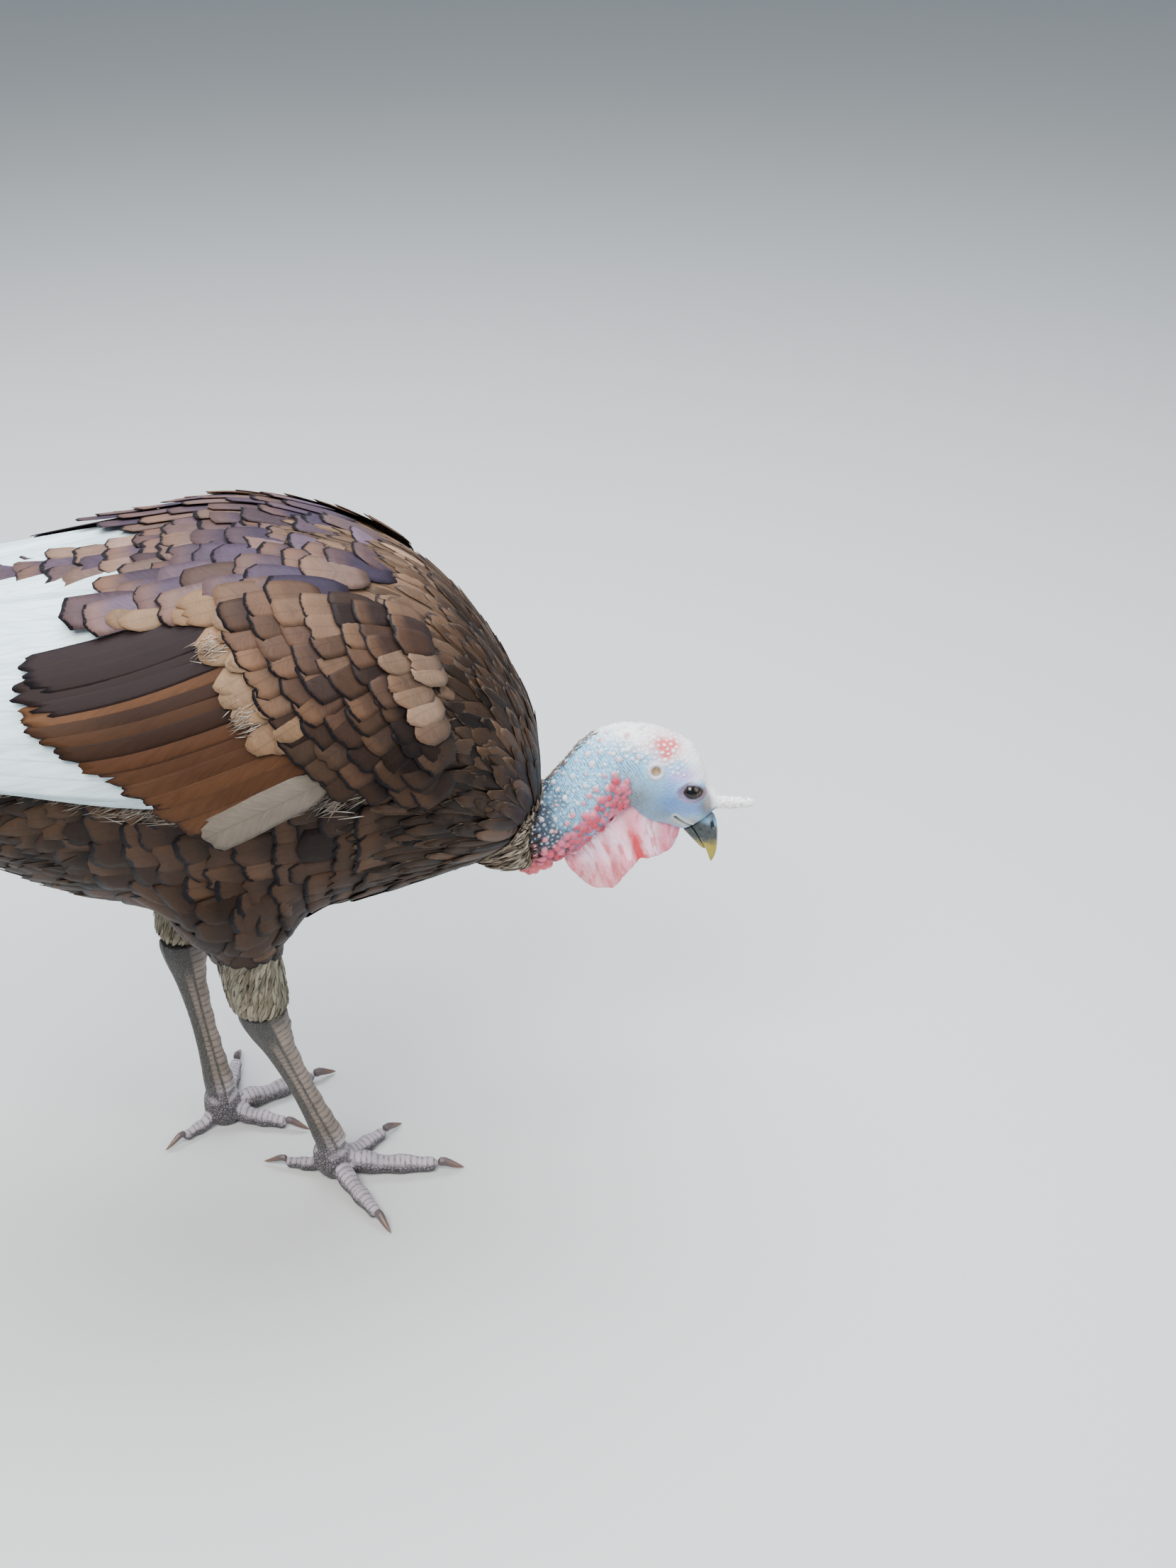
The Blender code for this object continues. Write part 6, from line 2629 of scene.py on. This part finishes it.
    def _paint(self, skin: Piece, plate: Array, mask: Array, down: Array) -> None:
        """Paints the leg: grey-brown, pinker towards the toes and paler on the plates.

        Args:
            skin: The shaped skin.
            plate: Height of the plates at each point.
            mask: How much they show.
            down: How far down the shank each point is.
        """
        points = read_points(skin)
        toes = ease(0.05, 0.02, points[:, 2])
        pale = 0.45 + 0.45 * cloudy(points, 0.011, 11)
        scute = blend((0.36, 0.27, 0.215), (0.60, 0.53, 0.59), toes)
        base = layered(
            blend((0.090, 0.080, 0.068), (0.19, 0.165, 0.185), toes),
            (scute, np.clip(mask * (0.45 + 0.4 * pale), 0, 1)),
            ((0.045, 0.043, 0.046), 0.6 * ease(0.16, -0.02, down)),
        )
        write_colours(skin, "paint", base)
        write_colours(skin, "plates", np.stack([plate, plate, plate, mask], -1))

    def make_claw(self, toe: str) -> Piece:
        """One claw, dark at its base and paler at its tip.

        Args:
            toe: The toe's name.

        Returns:
            The painted claw.
        """
        name = f"claw_{self.side}_{toe}"
        piece = joined_copy(name.replace("claw", "claw_horn"), [self.frame["nodes"][name]])
        reskin(piece, self.claw_grain, 5)
        points = read_points(piece)
        away = np.linalg.norm(points[:, :2] - np.array(self.foot)[:2], axis=1)
        tip = (away - away.min()) / (away.max() - away.min())
        stations = np.linspace(0, 1, 9)
        nearest = np.abs(tip[:, None] - stations).argmin(1)
        rows = [points[nearest == k].mean(0) for k in range(9)]
        middle = np.stack([np.interp(tip, stations, np.array(rows)[:, k]) for k in range(3)], -1)
        thick = 0.30 * np.sin(math.pi * tip**1.3)
        points = points + (points - middle) * thick[:, None]
        points[:, 2] = np.maximum(points[:, 2], 0.0003)
        write_points(piece, points)
        base = blend((0.095, 0.070, 0.072), (0.15, 0.085, 0.065), ease(0.2, 0.7, tip))
        write_colours(piece, "paint", base)
        return piece

    def dress(self, finishes: dict[str, Material]) -> None:
        """Builds the leg and its claws and hands them over.

        Args:
            finishes: The materials by name.
        """
        nodes = f"shank_{self.side}", f"foot_{self.side}"
        hand_over(self.make_skin(), finishes["leg"], "leg_scales", *nodes)
        for toe, _, _ in self.toes:
            claw = self.make_claw(toe)
            hand_over(claw, finishes["horn"], "claw_horn", f"claw_{self.side}_{toe}")


# Studio


@dataclass(frozen=True)
class Lamp:
    """A soft lamp: its name, where it stands, its size, power and colour; it looks at the studio's aim."""

    name: str
    place: Triple
    size: float
    power: float
    colour: Colour = (1.0, 1.0, 1.0)


@dataclass
class Studio:
    """The camera, the pale floor and the soft lights."""

    eye: Triple = (0.1613, -1.1009, 0.9581)
    azimuth: float = -10.0
    looking_down: float = 31.0
    focal_pixels: float = 2700.0
    frame_height: float = 2212.0
    sensor: float = 36.0
    aim: Triple = (0.10, 0.0, 0.30)
    sky_colour: Colour = (0.78, 0.88, 1.0)
    sky_strength: float = 0.42
    floor_size: float = 12.0
    lamps: tuple[Lamp, ...] = (
        Lamp("key_light", (-0.5, -1.2, 2.1), 1.3, 70.0, (1.0, 0.97, 0.93)),
        Lamp("fill_light", (1.6, -0.9, 1.2), 1.4, 15.0, (0.90, 0.95, 1.0)),
        Lamp("sky_light", (0.15, 0.5, 2.3), 2.2, 108.0, (0.89, 0.94, 1.0)),
        Lamp("back_light", (-1.6, 1.2, 1.2), 1.4, 12.0),
    )

    def place_camera(self) -> None:
        """Sets the camera at the photograph's angle and framing."""
        deselect_all()
        turn = (math.radians(90 - self.looking_down), 0.0, math.radians(self.azimuth))
        bpy.ops.object.camera_add(location=self.eye, rotation=turn)
        camera = bpy.context.object
        camera.name = "photo_camera"
        camera.data.sensor_width = self.sensor
        camera.data.sensor_fit = "AUTO"
        camera.data.lens = self.focal_pixels / self.frame_height * self.sensor
        bpy.context.scene.camera = camera

    def light(self) -> None:
        """Adds the lamps and a soft sky."""
        for lamp in self.lamps:
            deselect_all()
            bpy.ops.object.light_add(type="AREA", location=lamp.place)
            light = bpy.context.object
            light.name = lamp.name
            light.data.shape = "DISK"
            light.data.size = lamp.size
            light.data.energy = lamp.power
            light.data.color = lamp.colour
            toward = Vector(self.aim) - Vector(lamp.place)
            light.rotation_euler = toward.to_track_quat("-Z", "Y").to_euler()
        world = bpy.data.worlds.new("soft_sky")
        world.use_nodes = True
        sky = world.node_tree.nodes["Background"]
        sky.inputs["Color"].default_value = (*self.sky_colour, 1.0)
        sky.inputs["Strength"].default_value = self.sky_strength
        bpy.context.scene.world = world

    def lay_floor(self) -> None:
        """Adds the floor."""
        deselect_all()
        bpy.ops.mesh.primitive_plane_add(size=self.floor_size, location=(0.0, 0.0, 0.0))
        floor = bpy.context.object
        floor.name = "floor"
        floor.data.materials.append(FloorFinish().make())


# The whole bird


def main() -> None:
    """Builds the studio and every piece of the bird, in order."""
    logging.basicConfig(level=logging.INFO, format="%(name)s: %(message)s")
    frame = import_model()
    studio = Studio()
    studio.place_camera()
    studio.light()
    studio.lay_floor()
    finishes = {
        "feather": FeatherFinish("feather_vanes").make(),
        "tail": FeatherFinish(
            "tail_vanes", bar_colour=(0.20, 0.085, 0.042), bars=1.0, roughness=0.55, sheen=0.1
        ).make(),
        "under": CoatSkinFinish().make(),
        "skin": BareSkinFinish("head_bare_skin").make(),
        "soft_skin": BareSkinFinish("soft_folds", crease_scale=420.0, roughness=0.42, glow=0.2).make(),
        "horn": HornFinish("bill_and_claws").make(),
        "leg": ScuteFinish().make(),
        "eye": EyeFinish().make(),
    }
    wings = (FoldedWing("left"), FoldedWing("right"))
    FeatheredBody(frame, wings).dress(finishes)
    for wing in wings:
        wing.dress(finishes["feather"])
    TailFan().dress(finishes["tail"], finishes["feather"])
    ground = BareHead(frame).dress(finishes)
    HeadFittings(frame, ground).dress(finishes)
    legs = (
        Leg(frame, "right", (0.162, -0.038, 0.0), -8.0, (0.123, -0.050, 0.158)),
        Leg(frame, "left", (0.084, 0.036, 0.0), 24.0, (0.069, 0.044, 0.157)),
    )
    for leg in legs:
        leg.dress(finishes)


if __name__ == "__main__":
    main()
